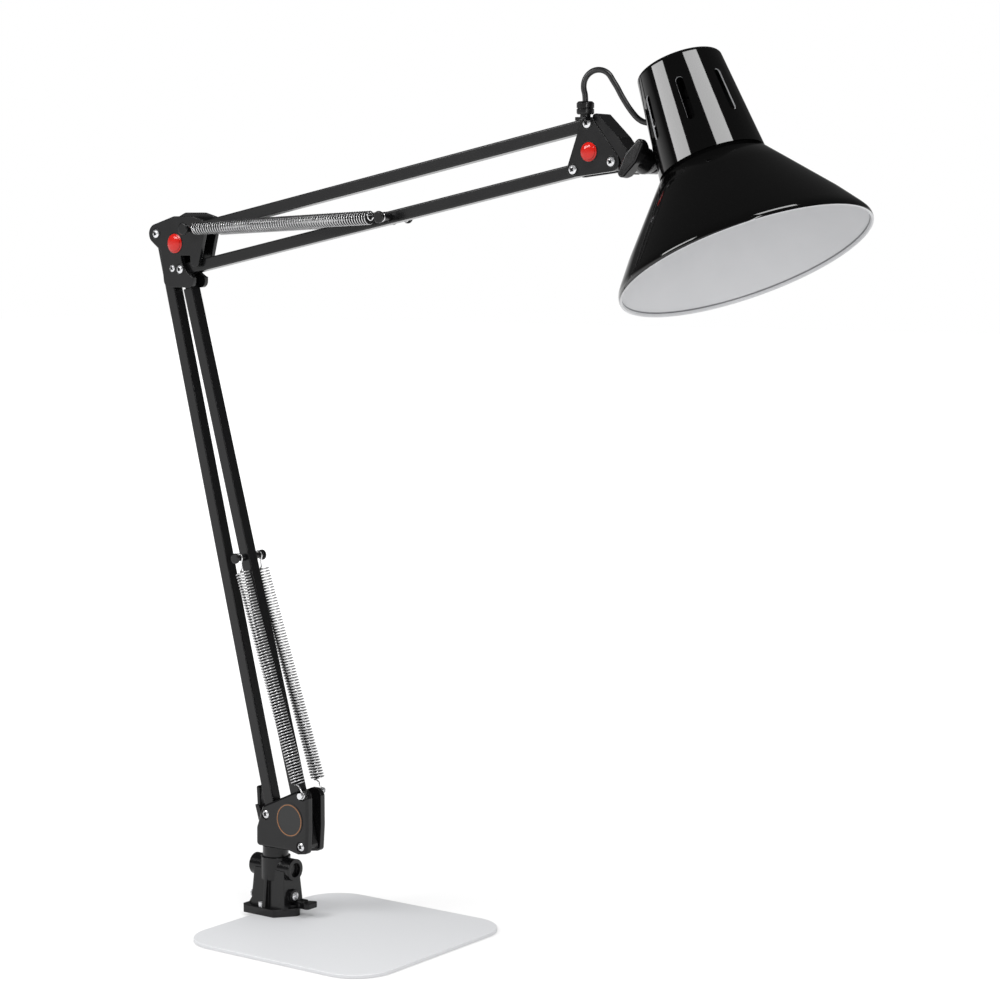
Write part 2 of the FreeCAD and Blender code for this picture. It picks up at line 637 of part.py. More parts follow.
def build_shell(name, side):
    """One half of the lower casing, with its recess for the spring's stud."""
    body = node(new_body(name))
    low, high = (-size.casing_outer, -size.casing_inner) if side < 0 else (size.casing_inner, size.casing_outer)
    add_slab(body, "XZ_Plane", low, high, draw_outline, CASING_OUTLINE)
    round_edges(body, 3.0, through_corner("y", [CASING_OUTLINE[index] for index in (0, 2, 5, 7, 8)]))
    face = side * size.casing_outer
    round_edges(body, size.casing_rounding, on_level("y", face))
    for centre in (rear_pivot, front_pivot):
        cut_slab(body, "XZ_Plane", low - 1, high + 1, draw_circle, centre, pivot_bore)
        seat = (face, face + 1) if side < 0 else (face - 1, face)
        cut_slab(body, "XZ_Plane", seat[0], seat[1], draw_circle, centre, size.pivot_head_radius + 1.0)
    floor = size.casing_outer - size.stud_recess_depth
    recess = (face, -floor) if side < 0 else (floor, face)
    lean = direction(stud, lower_peg)
    up = size.stud_recess_radius * 3
    slant = (stud[0] + up * math.cos(math.radians(lean)), stud[1] + up * math.sin(math.radians(lean)))
    cut_slab(body, "XZ_Plane", recess[0], recess[1], draw_belt, [
        (stud[0], stud[1], size.stud_recess_radius), (slant[0], slant[1], size.stud_recess_radius + 2)])
    return body


build_shell("casing_near_shell", -1)
build_shell("casing_far_shell", 1)

medallion = node(turned_piece("casing_medallion", [
    (0, 0), (size.medallion_radius, 0), (size.medallion_radius, size.medallion_thick),
    (size.ring_radius + size.ring_width, size.medallion_thick),
    (size.ring_radius + size.ring_width, size.medallion_thick + 0.3),
    (size.ring_radius, size.medallion_thick + 0.3), (size.ring_radius, size.medallion_thick),
    (0, size.medallion_thick)],
    size.medallion_x, -size.casing_outer, size.medallion_height, TOWARD_NEAR))

casing_bolts = []
casing_nuts = []
for number, centre in enumerate((rear_pivot, front_pivot), start=1):
    seat = size.casing_outer - 1
    casing_bolts.append(turned_piece(
        "casing_bolt_%d" % number,
        bolt_profile(size.pivot_radius, seat * 2 + 2.4, size.pivot_head_radius, size.pivot_head_height),
        centre[0], -seat, centre[1], TOWARD_NEAR))
    nut = nut_body("casing_nut_%d" % number, size.pivot_head_radius + 0.3, sized(2.2), size.pivot_radius)
    put(nut, centre[0], seat, centre[1], TOWARD_FAR)
    casing_nuts.append(nut)
node(group("casing_bolts", casing_bolts))
node(group("casing_nuts", casing_nuts))

studs = []
for number, (side, rotation) in enumerate(((-1, TOWARD_NEAR), (1, TOWARD_FAR)), start=1):
    floor = size.casing_outer - size.stud_recess_depth
    reach = size.lower_spring_y - floor + 1.9
    studs.append(turned_piece("lower_spring_stud_%d" % number, [
        (0, 0), (size.stud_radius, 0), (size.stud_radius, reach), (size.stud_head_radius, reach),
        (size.stud_head_radius, reach + 0.9), (0, reach + 0.9)],
        stud[0], floor * side, stud[1], rotation))
node(group("lower_spring_studs", studs))


def build_outlet():
    """The sleeve at the back of the casing where the supply cord leaves."""
    body = node(new_body("cord_outlet_sleeve"))
    add_slab(body, "XZ_Plane", -size.tongue_half_width, size.tongue_half_width, draw_outline,
             [(-16.2, 86.0), (-12.6, 86.0), (-8.2, 76.5), (-8.2, 70.4), (-11.6, 70.4)])
    add_slab(body, "XZ_Plane", -3.2, 3.2, draw_belt, [(-14.2, 84.0, 1.65), (-15.1, 98.8, 1.65)])
    round_edges(body, 1.2, lambda edge: edge.BoundBox.ZMin > 86.5 and abs(edge.BoundBox.YLength) < 0.01)
    return body


build_outlet()

# ---------------------------------------------------------------------------------------------
# Bars
# ---------------------------------------------------------------------------------------------

def bar_body(name, start, end, width, holes):
    """A square tube with round-ended side walls and cross holes, from one pivot to the next."""
    body = node(new_body(name))
    half = width / 2
    length = spaced(start, end)
    add_slab(body, "XZ_Plane", -half, half, draw_belt, [(0, 0, half), (length, 0, half)])
    round_edges(body, size.bar_rounding, lambda edge: on_level("y", half)(edge) or on_level("y", -half)(edge))
    put(body, start[0], 0, start[1], Rotation(Vector(0, 1, 0), -direction(start, end)))
    for distance, radius in holes:
        cut_slab(body, "XZ_Plane", -half - 1, half + 1, draw_circle, (distance, 0), radius)
    return body, half, length


def hollow(body, half, low, high):
    """The square bore of a bar, from low to high along it."""
    inner = half - size.bar_wall
    corners = [(-inner, -inner), (inner, -inner), (inner, inner), (-inner, inner)]
    cut_slab(body, "YZ_Plane", low, high, draw_outline, corners)


def build_lower_bars():
    rear, half, length = bar_body("rear_lower_bar", rear_pivot, elbow_rear, size.lower_bar_width,
                                  [(0, pivot_bore), (size.lower_bar_length, pivot_bore)])
    hollow(rear, half, -size.bar_end_margin, length + size.bar_end_margin)
    front, half, length = bar_body(
        "front_lower_bar", front_pivot, elbow_front, size.lower_bar_width,
        [(0, pivot_bore), (front_bar_length, size.pivot_radius + size.open_pivot_clearance),
         (size.lower_peg_distance, size.spring_peg_radius + size.pivot_clearance)])
    hollow(front, half, -size.bar_end_margin, length - size.joint_slot_length - 6)
    tongue = size.tongue_thick / 2
    for low, high in ((-half - 1, -tongue), (tongue, half + 1)):
        cut_slab(front, "XZ_Plane", low, high, draw_outline, [
            (length - size.joint_slot_length, -half - 1), (length + half + 1, -half - 1),
            (length + half + 1, half + 1), (length - size.joint_slot_length, half + 1)])


def build_upper_bars():
    top, half, length = bar_body("upper_top_bar", elbow_top, bracket_top, size.upper_bar_width,
                                 [(0, size.spring_peg_radius + size.pivot_clearance),
                                  (size.upper_bar_length, pivot_bore)])
    hollow(top, half, -size.bar_end_margin, length + size.bar_end_margin)
    low_bar, half, length = bar_body("upper_bottom_bar", elbow_front, bracket_low, size.upper_bar_width,
                                     [(0, pivot_bore), (size.upper_bar_length, pivot_bore),
                                      (size.upper_peg_distance, size.spring_peg_radius + size.pivot_clearance)])
    hollow(low_bar, half, -size.bar_end_margin, length + size.bar_end_margin)
    slot = size.tongue_thick / 2 + 0.5
    cut_slab(low_bar, "XZ_Plane", -slot, slot, draw_outline, [
        (-half - 1, -half - 1), (size.joint_slot_length + 1, -half - 1),
        (size.joint_slot_length + 1, half + 1), (-half - 1, half + 1)])


build_lower_bars()
build_upper_bars()


def cross_peg(name, centre, half_length, radius, head_radius, head_height):
    """A peg through the arm with a round head at each end."""
    shaft = half_length - head_height
    return node(turned_piece(name, [
        (0, -half_length), (head_radius - 0.6, -half_length), (head_radius, -half_length + 0.6),
        (head_radius, -shaft), (radius, -shaft), (radius, shaft), (head_radius, shaft),
        (head_radius, half_length - 0.6), (head_radius - 0.6, half_length), (0, half_length)],
        centre[0], 0, centre[1], TOWARD_NEAR))


cross_peg("lower_spring_peg", lower_peg, size.lower_peg_half_length, size.spring_peg_radius,
          size.lower_peg_head_radius, sized(1.8))
cross_peg("upper_spring_front_peg", upper_peg, size.upper_peg_half_length, size.spring_peg_radius,
          size.upper_peg_head_radius, sized(1.6))
cross_peg("upper_spring_rear_peg", elbow_top, size.upper_peg_half_length, size.spring_peg_radius,
          size.upper_peg_head_radius + 0.4, sized(1.6))

# ---------------------------------------------------------------------------------------------
# Elbow
# ---------------------------------------------------------------------------------------------

ELBOW_HOLES = [((0, 0), pivot_bore),
               ((size.elbow_front_x, -size.elbow_front_drop), pivot_bore),
               ((size.elbow_top_x, size.elbow_top_rise), size.spring_peg_radius + size.pivot_clearance),
               ((size.elbow_cap_x, -size.elbow_cap_drop), size.elbow_spacer_bore)]


def build_elbow_plate(name, side):
    """A moulded side plate drawn about the rear pivot: head, leg and foot with a round notch."""
    body = node(new_body(name))
    low, high = (-arm_plate_outer, -size.plate_gap_half) if side < 0 else (size.plate_gap_half, arm_plate_outer)
    top_x, top_z = size.elbow_top_x, size.elbow_top_rise
    foot_x, foot_z = size.elbow_front_x, -size.elbow_front_drop
    rise = sized(0.0) if side < 0 else sized(3.0)
    add_slab(body, "XZ_Plane", low, high, draw_belt, [
        (0, 0, size.elbow_lobe), (12.5, -9, 8), (38, -8, 5.5), (top_x + 10, top_z + 2.0 + rise, 5),
        (top_x, top_z + 3.4 + rise, 6.3), (20, top_z + 2.6 + rise, 7.2)])
    add_slab(body, "XZ_Plane", low, high, draw_belt, [
        (foot_x - 12, foot_z - 8.2, 5.5), (foot_x + 8.5, foot_z - 9, 5), (foot_x + 8, -10, 6), (12.5, -10, 8)])
    notch_low = foot_z - 6.3
    cut_slab(body, "XZ_Plane", low - 1, high + 1, draw_outline, [
        (foot_x + 0.6, -16.7, 20.6), (foot_x + 14.5, notch_low), (foot_x + 40, notch_low), (foot_x + 40, -16.7)])
    add_slab(body, "XZ_Plane", low, high, draw_belt, [
        (top_x + 5, top_z - 4, 6), (top_x + 2.6, -22, 3.2), (top_x + 4.6, -22, 3.2), (top_x + 10.2, top_z + 2, 5)])
    for centre, radius in ELBOW_HOLES:
        cut_slab(body, "XZ_Plane", low - 1, high + 1, draw_circle, centre, radius)
    if side < 0:
        cut_slab(body, "XZ_Plane", low - 1, high + 1, draw_circle, (17, -26.7), sized(1.5) + size.fixing_clearance)
    put(body, elbow_rear[0], 0, elbow_rear[1])
    return body


build_elbow_plate("elbow_near_plate", -1)
build_elbow_plate("elbow_far_plate", 1)


def spacer_tube(name, centre, radius, bore):
    return node(turned_piece(name, [
        (bore, -size.plate_gap_half), (radius, -size.plate_gap_half), (radius, size.plate_gap_half),
        (bore, size.plate_gap_half)], centre[0], 0, centre[1], TOWARD_NEAR))


def cap_pair(name, centre, radius, bore):
    """Two domed caps, one on each plate, each with a plug in the spacer's bore."""
    caps = []
    for number, (side, rotation) in enumerate(((-1, TOWARD_NEAR), (1, TOWARD_FAR)), start=1):
        plug = bore - size.fixing_clearance
        caps.append(turned_piece("%s_%d" % (name, number), [
            (0, -size.plug_length), (plug, -size.plug_length), (plug, 0), (radius, 0),
            (radius, size.cap_thick * 0.3, radius * 2), (radius * 0.75, size.cap_thick), (0, size.cap_thick)],
            centre[0], arm_plate_outer * side, centre[1], rotation))
    return node(group(name, caps))


def arm_bolts(name, centres, radius):
    """Bolts with nuts through both plates of a bracket, as one node."""
    pieces = []
    for number, centre in enumerate(centres, start=1):
        pieces.append(turned_piece(
            "%s_%d" % (name, number),
            bolt_profile(radius, arm_plate_outer * 2 + 2.4, size.pivot_head_radius, size.pivot_head_height),
            centre[0], -arm_plate_outer, centre[1], TOWARD_NEAR))
    bolts = node(group(name + "_bolts", pieces))
    nuts = []
    for number, centre in enumerate(centres, start=1):
        nut = nut_body("%s_nut_%d" % (name, number), size.pivot_head_radius + 0.3, sized(2.0), radius)
        put(nut, centre[0], arm_plate_outer, centre[1], TOWARD_FAR)
        nuts.append(nut)
    node(group(name + "_nuts", nuts))
    return bolts


spacer_tube("elbow_spacer", elbow_cap, size.elbow_spacer_radius, size.elbow_spacer_bore)
cap_pair("elbow_caps", elbow_cap, size.elbow_cap_radius, size.elbow_spacer_bore)
arm_bolts("elbow", [elbow_rear, elbow_front], size.pivot_radius)
node(turned_piece("elbow_plate_screw", bolt_profile(sized(1.5), size.arm_plate_thick, sized(2.6), sized(1.4)),
                  elbow_rear[0] + 17, -arm_plate_outer, elbow_rear[1] - 26.7, TOWARD_NEAR))

# ---------------------------------------------------------------------------------------------
# Balance springs
# ---------------------------------------------------------------------------------------------

def biarc(start, start_way, end, end_way):
    """Two tangent arcs from one point and direction to another."""
    reach = end - start
    ways = start_way + end_way
    spread = 2 * (1 - start_way.dot(end_way))
    if spread < 1e-9:
        handle = reach.dot(reach) / (4 * reach.dot(end_way))
    else:
        product = reach.dot(ways)
        handle = (-product + math.sqrt(product * product + spread * reach.dot(reach))) / spread
    first_handle = start + start_way * handle
    last_handle = end - end_way * handle
    middle = (first_handle + last_handle) / 2
    return [arc_by_handle(start, first_handle, middle), arc_by_handle(middle, last_handle, end)]


def arc_by_handle(start, handle, end):
    """The arc from start to end whose end tangents meet at the handle."""
    chord_middle = (start + end) / 2
    share = (end - start).Length / 2 / (handle - start).Length
    bulge = chord_middle + (handle - chord_middle) * (share / (1 + share))
    if (bulge - chord_middle).Length < 1e-6:
        return Part.LineSegment(start, end)
    return Part.Arc(start, bulge, end)


def spring_edges(length, coil_radius, hook_one, hook_two, lead_one, lead_two, turns):
    """A spring along local Z: hook round a peg at 0, coil, hook round a peg at length."""
    coil_low, coil_high = lead_one, length - lead_two
    steps = int(turns) * 4
    rise = (coil_high - coil_low) / steps
    sloped = rise / (math.pi / 2)

    def on_coil(step):
        turn = step * math.pi / 2
        spot = Vector(coil_radius * math.cos(turn), coil_radius * math.sin(turn), coil_low + rise * step)
        way = Vector(-coil_radius * math.sin(turn), coil_radius * math.cos(turn), sloped).normalize()
        return spot, way

    def on_hook(centre, radius, angle, onward):
        """Point and direction on a hook in the local XZ plane; the angle is from +Z toward +X."""
        turn = math.radians(angle)
        spot = Vector(radius * math.sin(turn), 0, centre + radius * math.cos(turn))
        way = Vector(math.cos(turn), 0, -math.sin(turn)) * onward
        return spot, way

    stations = []
    for angle in (75, 165, 255, 315):
        stations.append(on_hook(0, hook_one, angle, 1))
    stations.append((Vector(0, 0, hook_one * 2.0), Vector(0, 0, 1)))
    for step in range(steps + 1):
        stations.append(on_coil(step))
    stations.append((Vector(0, 0, length - hook_two * 2.0), Vector(0, 0, 1)))
    for angle in (225, 285, 375, 465):
        stations.append(on_hook(length, hook_two, angle, 1))
    curves = []
    for (start, start_way), (end, end_way) in zip(stations, stations[1:]):
        curves.extend(biarc(start, start_way, end, end_way))
    return curves


def least_gap(curves, wire):
    """Clear distance between parts of the wire that are not next to each other along it."""
    spots = []
    run = 0.0
    for curve in curves:
        edge = curve.toShape()
        count = max(2, int(edge.Length / 0.5))
        for number in range(count):
            share = edge.FirstParameter + (edge.LastParameter - edge.FirstParameter) * number / count
            spots.append((run + edge.Length * number / count, edge.valueAt(share)))
        run += edge.Length
    gap = None
    for index, (place, spot) in enumerate(spots):
        for far_place, far_spot in spots[index + 1:index + 260]:
            if far_place - place > wire * 4:
                distance = (spot - far_spot).Length - wire
                gap = distance if gap is None or distance < gap else gap
    return gap


def build_spring(name, start, end, y, wire, coil_radius, turns, hooks, leads):
    """One spring from the peg at start to the peg at end, in a plane beside the arm."""
    length = spaced(start, end).value
    curves = spring_edges(length, coil_radius.value, hooks[0].value, hooks[1].value,
                          leads[0].value, leads[1].value, turns.value)
    path = Part.Wire([curve.toShape() for curve in curves])
    first = curves[0].toShape()
    way = first.tangentAt(first.FirstParameter)
    ring = Part.Circle(first.valueAt(first.FirstParameter), way, wire.value / 2)
    shell = Part.BRepOffsetAPI.MakePipeShell(path)
    shell.add(Part.Wire([ring.toShape()]), False, False)
    shell.setTransitionMode(0)
    shell.build()
    shell.makeSolid()
    spring = doc.addObject("Part::Feature", name)
    spring.Label = name
    spring.Shape = shell.shape()
    lean = direction(start, end)
    turned = Rotation(Vector(0, 1, 0), 90 - lean)
    spring.Placement = Placement(flat(start, y), turned)
    print("%s: least gap to itself %.2f mm" % (name, least_gap(curves, wire.value)))
    return node(spring)


for side, word in ((-1, "near"), (1, "far")):
    build_spring("lower_spring_" + word, lower_peg, stud, side * size.lower_spring_y, size.lower_wire,
                 size.lower_coil_radius, size.lower_coil_turns,
                 (size.spring_peg_radius + size.lower_wire / 2 + size.hook_gap,
                  size.stud_radius + size.lower_wire / 2 + size.hook_gap),
                 (size.lower_hook_upper, size.lower_hook_lower))
for side, word in ((-1, "near"), (1, "far")):
    hook = size.spring_peg_radius + size.upper_wire / 2 + size.hook_gap
    build_spring("upper_spring_" + word, elbow_top, upper_peg, side * size.upper_spring_y, size.upper_wire,
                 size.upper_coil_radius, size.upper_coil_turns, (hook, hook), (size.upper_hook, size.upper_hook))

# ---------------------------------------------------------------------------------------------
# Head bracket
# ---------------------------------------------------------------------------------------------

BRACKET_LOBES = [(0, 0, size.bracket_top_lobe),
                 (bracket_low[0] - bracket_top[0], bracket_low[1] - bracket_top[1], size.bracket_low_lobe),
                 (size.bracket_front_x, -size.bracket_front_drop, size.bracket_front_lobe)]


def build_bracket_plate(name, side):
    """A triangular side plate with an eye at each corner, drawn about its top pivot."""
    body = node(new_body(name))
    low, high = (-arm_plate_outer, -size.plate_gap_half) if side < 0 else (size.plate_gap_half, arm_plate_outer)
    add_slab(body, "XZ_Plane", low, high, draw_belt, BRACKET_LOBES)
    if side < 0:
        ledge = size.gland_low
        outer = size.gland_y - 4.6
        add_slab(body, "XY_Plane", ledge - 2.4, ledge, draw_outline, [
            (-5, outer), (3.6, outer), (3.6, -size.plate_gap_half), (-5, -size.plate_gap_half)])
        cut_slab(body, "XY_Plane", ledge, size.bracket_top_lobe + 1, draw_outline, [
            (-7, outer), (7, outer), (7, 0), (-7, 0)])
        cut_slab(body, "XZ_Plane", outer - 1, low, draw_circle, (0, 0), size.pivot_head_radius + 0.2)
    for x, z, _ in BRACKET_LOBES:
        cut_slab(body, "XZ_Plane", low - 1, high + 1, draw_circle, (x, z), pivot_bore)
    cut_slab(body, "XZ_Plane", low - 1, high + 1, draw_circle,
             (size.bracket_cap_x, -size.bracket_cap_drop), size.bracket_spacer_bore)
    put(body, bracket_top[0], 0, bracket_top[1])
    return body


build_bracket_plate("head_near_plate", -1)
build_bracket_plate("head_far_plate", 1)
spacer_tube("head_spacer", bracket_cap, size.bracket_spacer_radius, size.bracket_spacer_bore)
cap_pair("head_caps", bracket_cap, size.bracket_cap_radius, size.bracket_spacer_bore)
arm_bolts("head", [bracket_top, bracket_low, bracket_front], size.pivot_radius)


def build_block():
    """The moulded block between and ahead of the head plates, with the swivel stem's socket."""
    body = node(new_body("head_block"))
    half = size.block_half_width
    front_x, front_z = size.bracket_front_x, -size.bracket_front_drop
    face = size.tilt_x - size.block_face_x
    add_slab(body, "XZ_Plane", -half, half, draw_outline, [
        (2.7, 5.6), (7.9, 6.7), (25.0, -9.6), (face, front_z + 7.5), (face, front_z - 8.5),
        (face - 3.5, front_z - 8.5), (face - 4.2, front_z - 1.2), (front_x + 6.6, front_z + 2.6)])
    core = size.block_core_half_width
    add_slab(body, "XZ_Plane", -core, core, draw_belt, [
        (front_x, front_z, 5.8), (front_x + 6.9, front_z, 5), (24, -11, 2), (8.6, 1.5, 2.4)])
    round_edges(body, 2.0, through_corner("y", [(7.9, 6.7), (25.0, -9.6), (2.7, 5.6)]))
    cut_slab(body, "XZ_Plane", -half - 1, half + 1, draw_circle, (front_x, front_z), pivot_bore)
    cut_slab(body, "YZ_Plane", face - size.stem_length - 0.4, face + 1, draw_circle,
             (0, -size.tilt_drop), size.stem_radius + size.stem_clearance)
    put(body, bracket_top[0], 0, bracket_top[1])
    return body


build_block()

gland = node(turned_piece("cord_gland", [
    (0, 0), (size.gland_neck_radius, 0), (size.gland_neck_radius, 1.8), (size.gland_radius - 0.8, 1.8),
    (size.gland_radius, 2.6), (size.gland_radius, 5.2), (size.gland_radius - 0.7, 5.7),
    (size.gland_radius, 6.2), (size.gland_radius, size.gland_high - size.gland_low - 1.2),
    (size.gland_radius - 1.2, size.gland_high - size.gland_low), (0, size.gland_high - size.gland_low)],
    bracket_top[0] + size.gland_x, size.gland_y, bracket_top[1] + size.gland_low))

# ---------------------------------------------------------------------------------------------
# Head joint and shade: built about the tilt pivot or the rim, then rolled together
# ---------------------------------------------------------------------------------------------

roll = Placement(flat(tilt_pivot), Rotation(Vector(1, 0, 0), size.shade_roll.value))


def neck_radius(height):
    """Outer radius of the neck at a height above the rim."""
    slope = (size.neck_low_radius - size.neck_top_radius) / (size.shade_height - size.neck_start)
    return size.neck_low_radius - (sized(height) - size.neck_start) * slope


tilt_offset = neck_radius(size.tilt_height) + size.tilt_to_neck
shade_turn = Rotation(Vector(0, 1, 0), -size.shade_lean.value)
rim_centre = shade_turn.multVec(Vector(tilt_offset.value, 0, -size.tilt_height.value))
shade_place = roll.multiply(Placement(rim_centre, shade_turn))


def build_knuckle():
    """Swivel stem, round collar and the fork that holds the shade's tongue."""
    body = node(new_body("head_knuckle"))
    half = size.knuckle_half_width
    face = -size.block_face_x
    collar = face + 0.3
    add_slab(body, "YZ_Plane", face - size.stem_length, collar + 1, draw_circle, (0, 0), size.stem_radius)
    add_slab(body, "YZ_Plane", collar, collar + 4.4, draw_circle, (0, 0), half)
    add_slab(body, "XZ_Plane", -half, half, draw_belt, [
        (collar + 3.4, -4.6, 2.4), (0, 0, size.knuckle_radius), (collar + 3.4, 4.6, 2.4)])
    gap = size.fork_gap_half
    cut_slab(body, "XZ_Plane", -gap, gap, draw_outline, [
        (-size.tongue_eye - 0.6, -20), (20, -20), (20, 20), (-size.tongue_eye - 0.6, 20)])
    cut_slab(body, "XZ_Plane", -half - 1, half + 1, draw_circle, (0, 0),
             size.tilt_bolt_radius + size.pivot_clearance)
    body.Placement = roll
    return body


build_knuckle()


def build_tilt_bolt():
    """The bolt through fork and tongue: its head is on the far side, the knob on the near end."""
    body = node(new_body("head_tilt_bolt"))
    half = size.knuckle_half_width
    turn_profile(body, bolt_profile(size.tilt_bolt_radius, half * 2 + size.knob_hub_length - 2,
                                    sized(3.6), sized(2.2)))
    body.Placement = roll.multiply(Placement(Vector(0, half.value, 0), TOWARD_FAR))
    return body


build_tilt_bolt()


def build_wing_knob():
    """Clamping knob: a tapering hub and a rounded wing across its end."""
    body = node(new_body("head_wing_knob"))
    hub = size.knob_hub_length
    turn_profile(body, [
        (0, 0), (size.knob_radius, 0), (size.knob_radius, 2.5), (size.knob_end_radius, hub), (0, hub)])
    tip = size.knob_wing_thick / 2
    reach = size.knob_wing_half_span - tip
    add_slab(body, "XY_Plane", hub - 3, hub + size.knob_wing_depth, draw_belt, [
        (-reach, 0, tip), (0, -0.6, size.knob_end_radius - 0.8), (reach, 0, tip),
        (0, 0.6, size.knob_end_radius - 0.8)])
    round_edges(body, 1.6, on_level("z", hub + size.knob_wing_depth))
    swept = size.knob_wing_half_span + 3
    groove_profile(body, [
        (size.knob_end_radius + 5.8, hub - 3.2), (swept, hub - 3.2), (swept, hub + 1.2),
        (size.knob_wing_half_span + 0.1, hub + 1.2)])
    cut_slab(body, "XY_Plane", 0, hub - 1.5, draw_circle, (0, 0), size.tilt_bolt_radius + size.pivot_clearance)
    start = -size.knuckle_half_width.value - size.knob_gap.value
    facing = TOWARD_NEAR.multiply(Rotation(Vector(0, 0, 1), size.knob_angle.value))
    body.Placement = roll.multiply(Placement(Vector(0, start, 0), facing))
    return body


build_wing_knob()


def build_cone():
    """Spun cone with a rolled bead at the rim and a band that fits inside the neck."""
    body = node(new_body("shade_cone"))
    wall = size.shade_wall
    top = size.neck_low_radius - size.neck_step
    band_low = size.neck_low_radius - wall - size.seat_gap
    band_top = size.neck_start + size.neck_overlap
    band_high = neck_radius(band_top) - wall - size.seat_gap
    edge = size.rim_radius - size.bead_radius
    turn_profile(body, [
        (edge, size.bead_radius), (top, size.neck_start - 0.3), (band_low, size.neck_start),
        (band_high, band_top), (band_high - wall, band_top), (band_low - wall, size.neck_start),
        (top - wall * 1.2, size.neck_start - 0.8), (edge - wall * 1.2, size.bead_radius)])
    sketch = sketch_on(body, "XZ_Plane", "rim_bead_outline")
    draw_circle(sketch, (edge, size.bead_radius), size.bead_radius)
    bead = body.newObject("PartDesign::Revolution", "rim_bead")
    bead.Profile = sketch
    bead.ReferenceAxis = (sketch, ["V_Axis"])
    bead.Angle = 360
    body.Placement = shade_place
    return body


build_cone()


def cut_through_wall(body, turn, draw, *drawn):
    """Cuts what is drawn outward through a round wall, at a turn about the body's Z axis."""
    sketch = sketch_on(body, "XZ_Plane", body.Name + "_wall_outline")
    draw(sketch, *drawn)
    sketch.AttachmentOffset = Placement(Vector(), Rotation(Vector(0, 1, 0), turn.value + 90))
    pocket = body.newObject("PartDesign::Pocket", body.Name + "_wall_cut")
    pocket.Profile = sketch
    pocket.Reversed = True
    pocket.setExpression("Length", (size.neck_low_radius + 2).text)
    return pocket


def build_neck():
    """Tapering cap with a closed top, cooling slots all round and the cord's hole."""
    body = node(new_body("shade_neck"))
    wall = size.shade_wall
    top = size.shade_height
    turn_profile(body, [
        (size.neck_low_radius, size.neck_start), (size.neck_top_radius, top), (0, top), (0, top - wall),
        (size.neck_top_radius - wall, top - wall), (size.neck_low_radius - wall, size.neck_start)])
    round_edges(body, size.neck_edge, on_level("z", top))
    cut_through_wall(body, size.cord_hole_turn, draw_circle, (0, size.cord_hole_height), size.cord_hole_radius)
    half = size.slot_width / 2
    slot = cut_through_wall(body, size.slot_turn, draw_belt, [
        (0, size.slot_low + half, half), (0, size.slot_high - half, half)])
    doc.recompute()
    slots = body.newObject("PartDesign::PolarPattern", "cooling_slots")
    slots.Originals = [slot]
    slots.Axis = (origin_part(body, "Z_Axis"), [""])
    slots.Angle = 360
    slots.setExpression("Occurrences", size.slot_count.text)
    body.Tip = slots
    body.Placement = shade_place
    return body


build_neck()


def build_tongue():
    """Metal strap riveted to the neck, with the eye that the fork holds."""
    body = node(new_body("shade_tongue"))
    low, high = size.strap_low, size.strap_high
    inner_low, inner_high = neck_radius(low) + size.seat_gap, neck_radius(high) + size.seat_gap
    turn_profile(body, [
        (-inner_low, low), (-inner_high, high), (-inner_high - size.strap_thick, high),
        (-inner_low - size.strap_thick, low)], size.strap_half_angle.value * 2)
    half = size.tongue_plate / 2
    foot_low, foot_high = size.tilt_height - 6, size.tilt_height + 9
    wall_low = neck_radius(foot_low) + size.seat_gap + size.strap_thick / 2
    wall_high = neck_radius(foot_high) + size.seat_gap + size.strap_thick / 2
    add_slab(body, "XZ_Plane", -half, half, draw_outline, [
        (-wall_low, foot_low), (-wall_high, foot_high), (-tilt_offset, size.tilt_height + size.tongue_eye),
        (-tilt_offset, size.tilt_height - size.tongue_eye)])
    add_slab(body, "XZ_Plane", -half, half, draw_circle, (-tilt_offset, size.tilt_height), size.tongue_eye)
    cut_slab(body, "XZ_Plane", -half - 1, half + 1, draw_circle, (-tilt_offset, size.tilt_height),
             size.tilt_bolt_radius + size.pivot_clearance)
    body.Placement = shade_place
    return body


build_tongue()


def build_rivets():
    """Two domed rivets on the strap, above and below the eye."""
    rivets = []
    slope = (size.neck_low_radius - size.neck_top_radius) / (size.shade_height - size.neck_start)
    for number, height in enumerate((size.strap_low + 2.2, size.strap_high - 3.2), start=1):
        face = neck_radius(height) + size.seat_gap + size.strap_thick
        rivet = new_body("tongue_rivet_%d" % number)
        turn_profile(rivet, [
            (0, 0), (size.rivet_radius, 0), (size.rivet_radius, size.rivet_height * 0.3, size.rivet_radius * 1.3),
            (0.4, size.rivet_height), (0, size.rivet_height)])
        outward = Rotation(Vector(0, 1, 0), math.degrees(math.atan(slope.value)) - 90)
        rivet.Placement = shade_place.multiply(
            Placement(Vector(-face.value, 0, height.value), outward))
        rivets.append(rivet)
    return node(group("tongue_rivets", rivets))


build_rivets()


def build_holder():
    """Screw-base lamp holder hanging from the top of the neck."""
    body = node(new_body("lamp_holder"))
    nipple_top = size.shade_height - size.shade_wall
    mouth = size.holder_low
    turn_profile(body, [
        (size.holder_bore, mouth), (size.holder_skirt, mouth), (size.holder_skirt, size.holder_step),
        (size.holder_body, size.holder_step + 2), (size.holder_body, size.holder_high),
        (size.nipple_radius, size.holder_high), (size.nipple_radius, nipple_top), (0, nipple_top),
        (0, mouth + size.holder_bore_depth), (size.holder_bore, mouth + size.holder_bore_depth)])
    body.Placement = shade_place
    return body


build_holder()

# ---------------------------------------------------------------------------------------------
# Cord from the gland over to the neck
# ---------------------------------------------------------------------------------------------

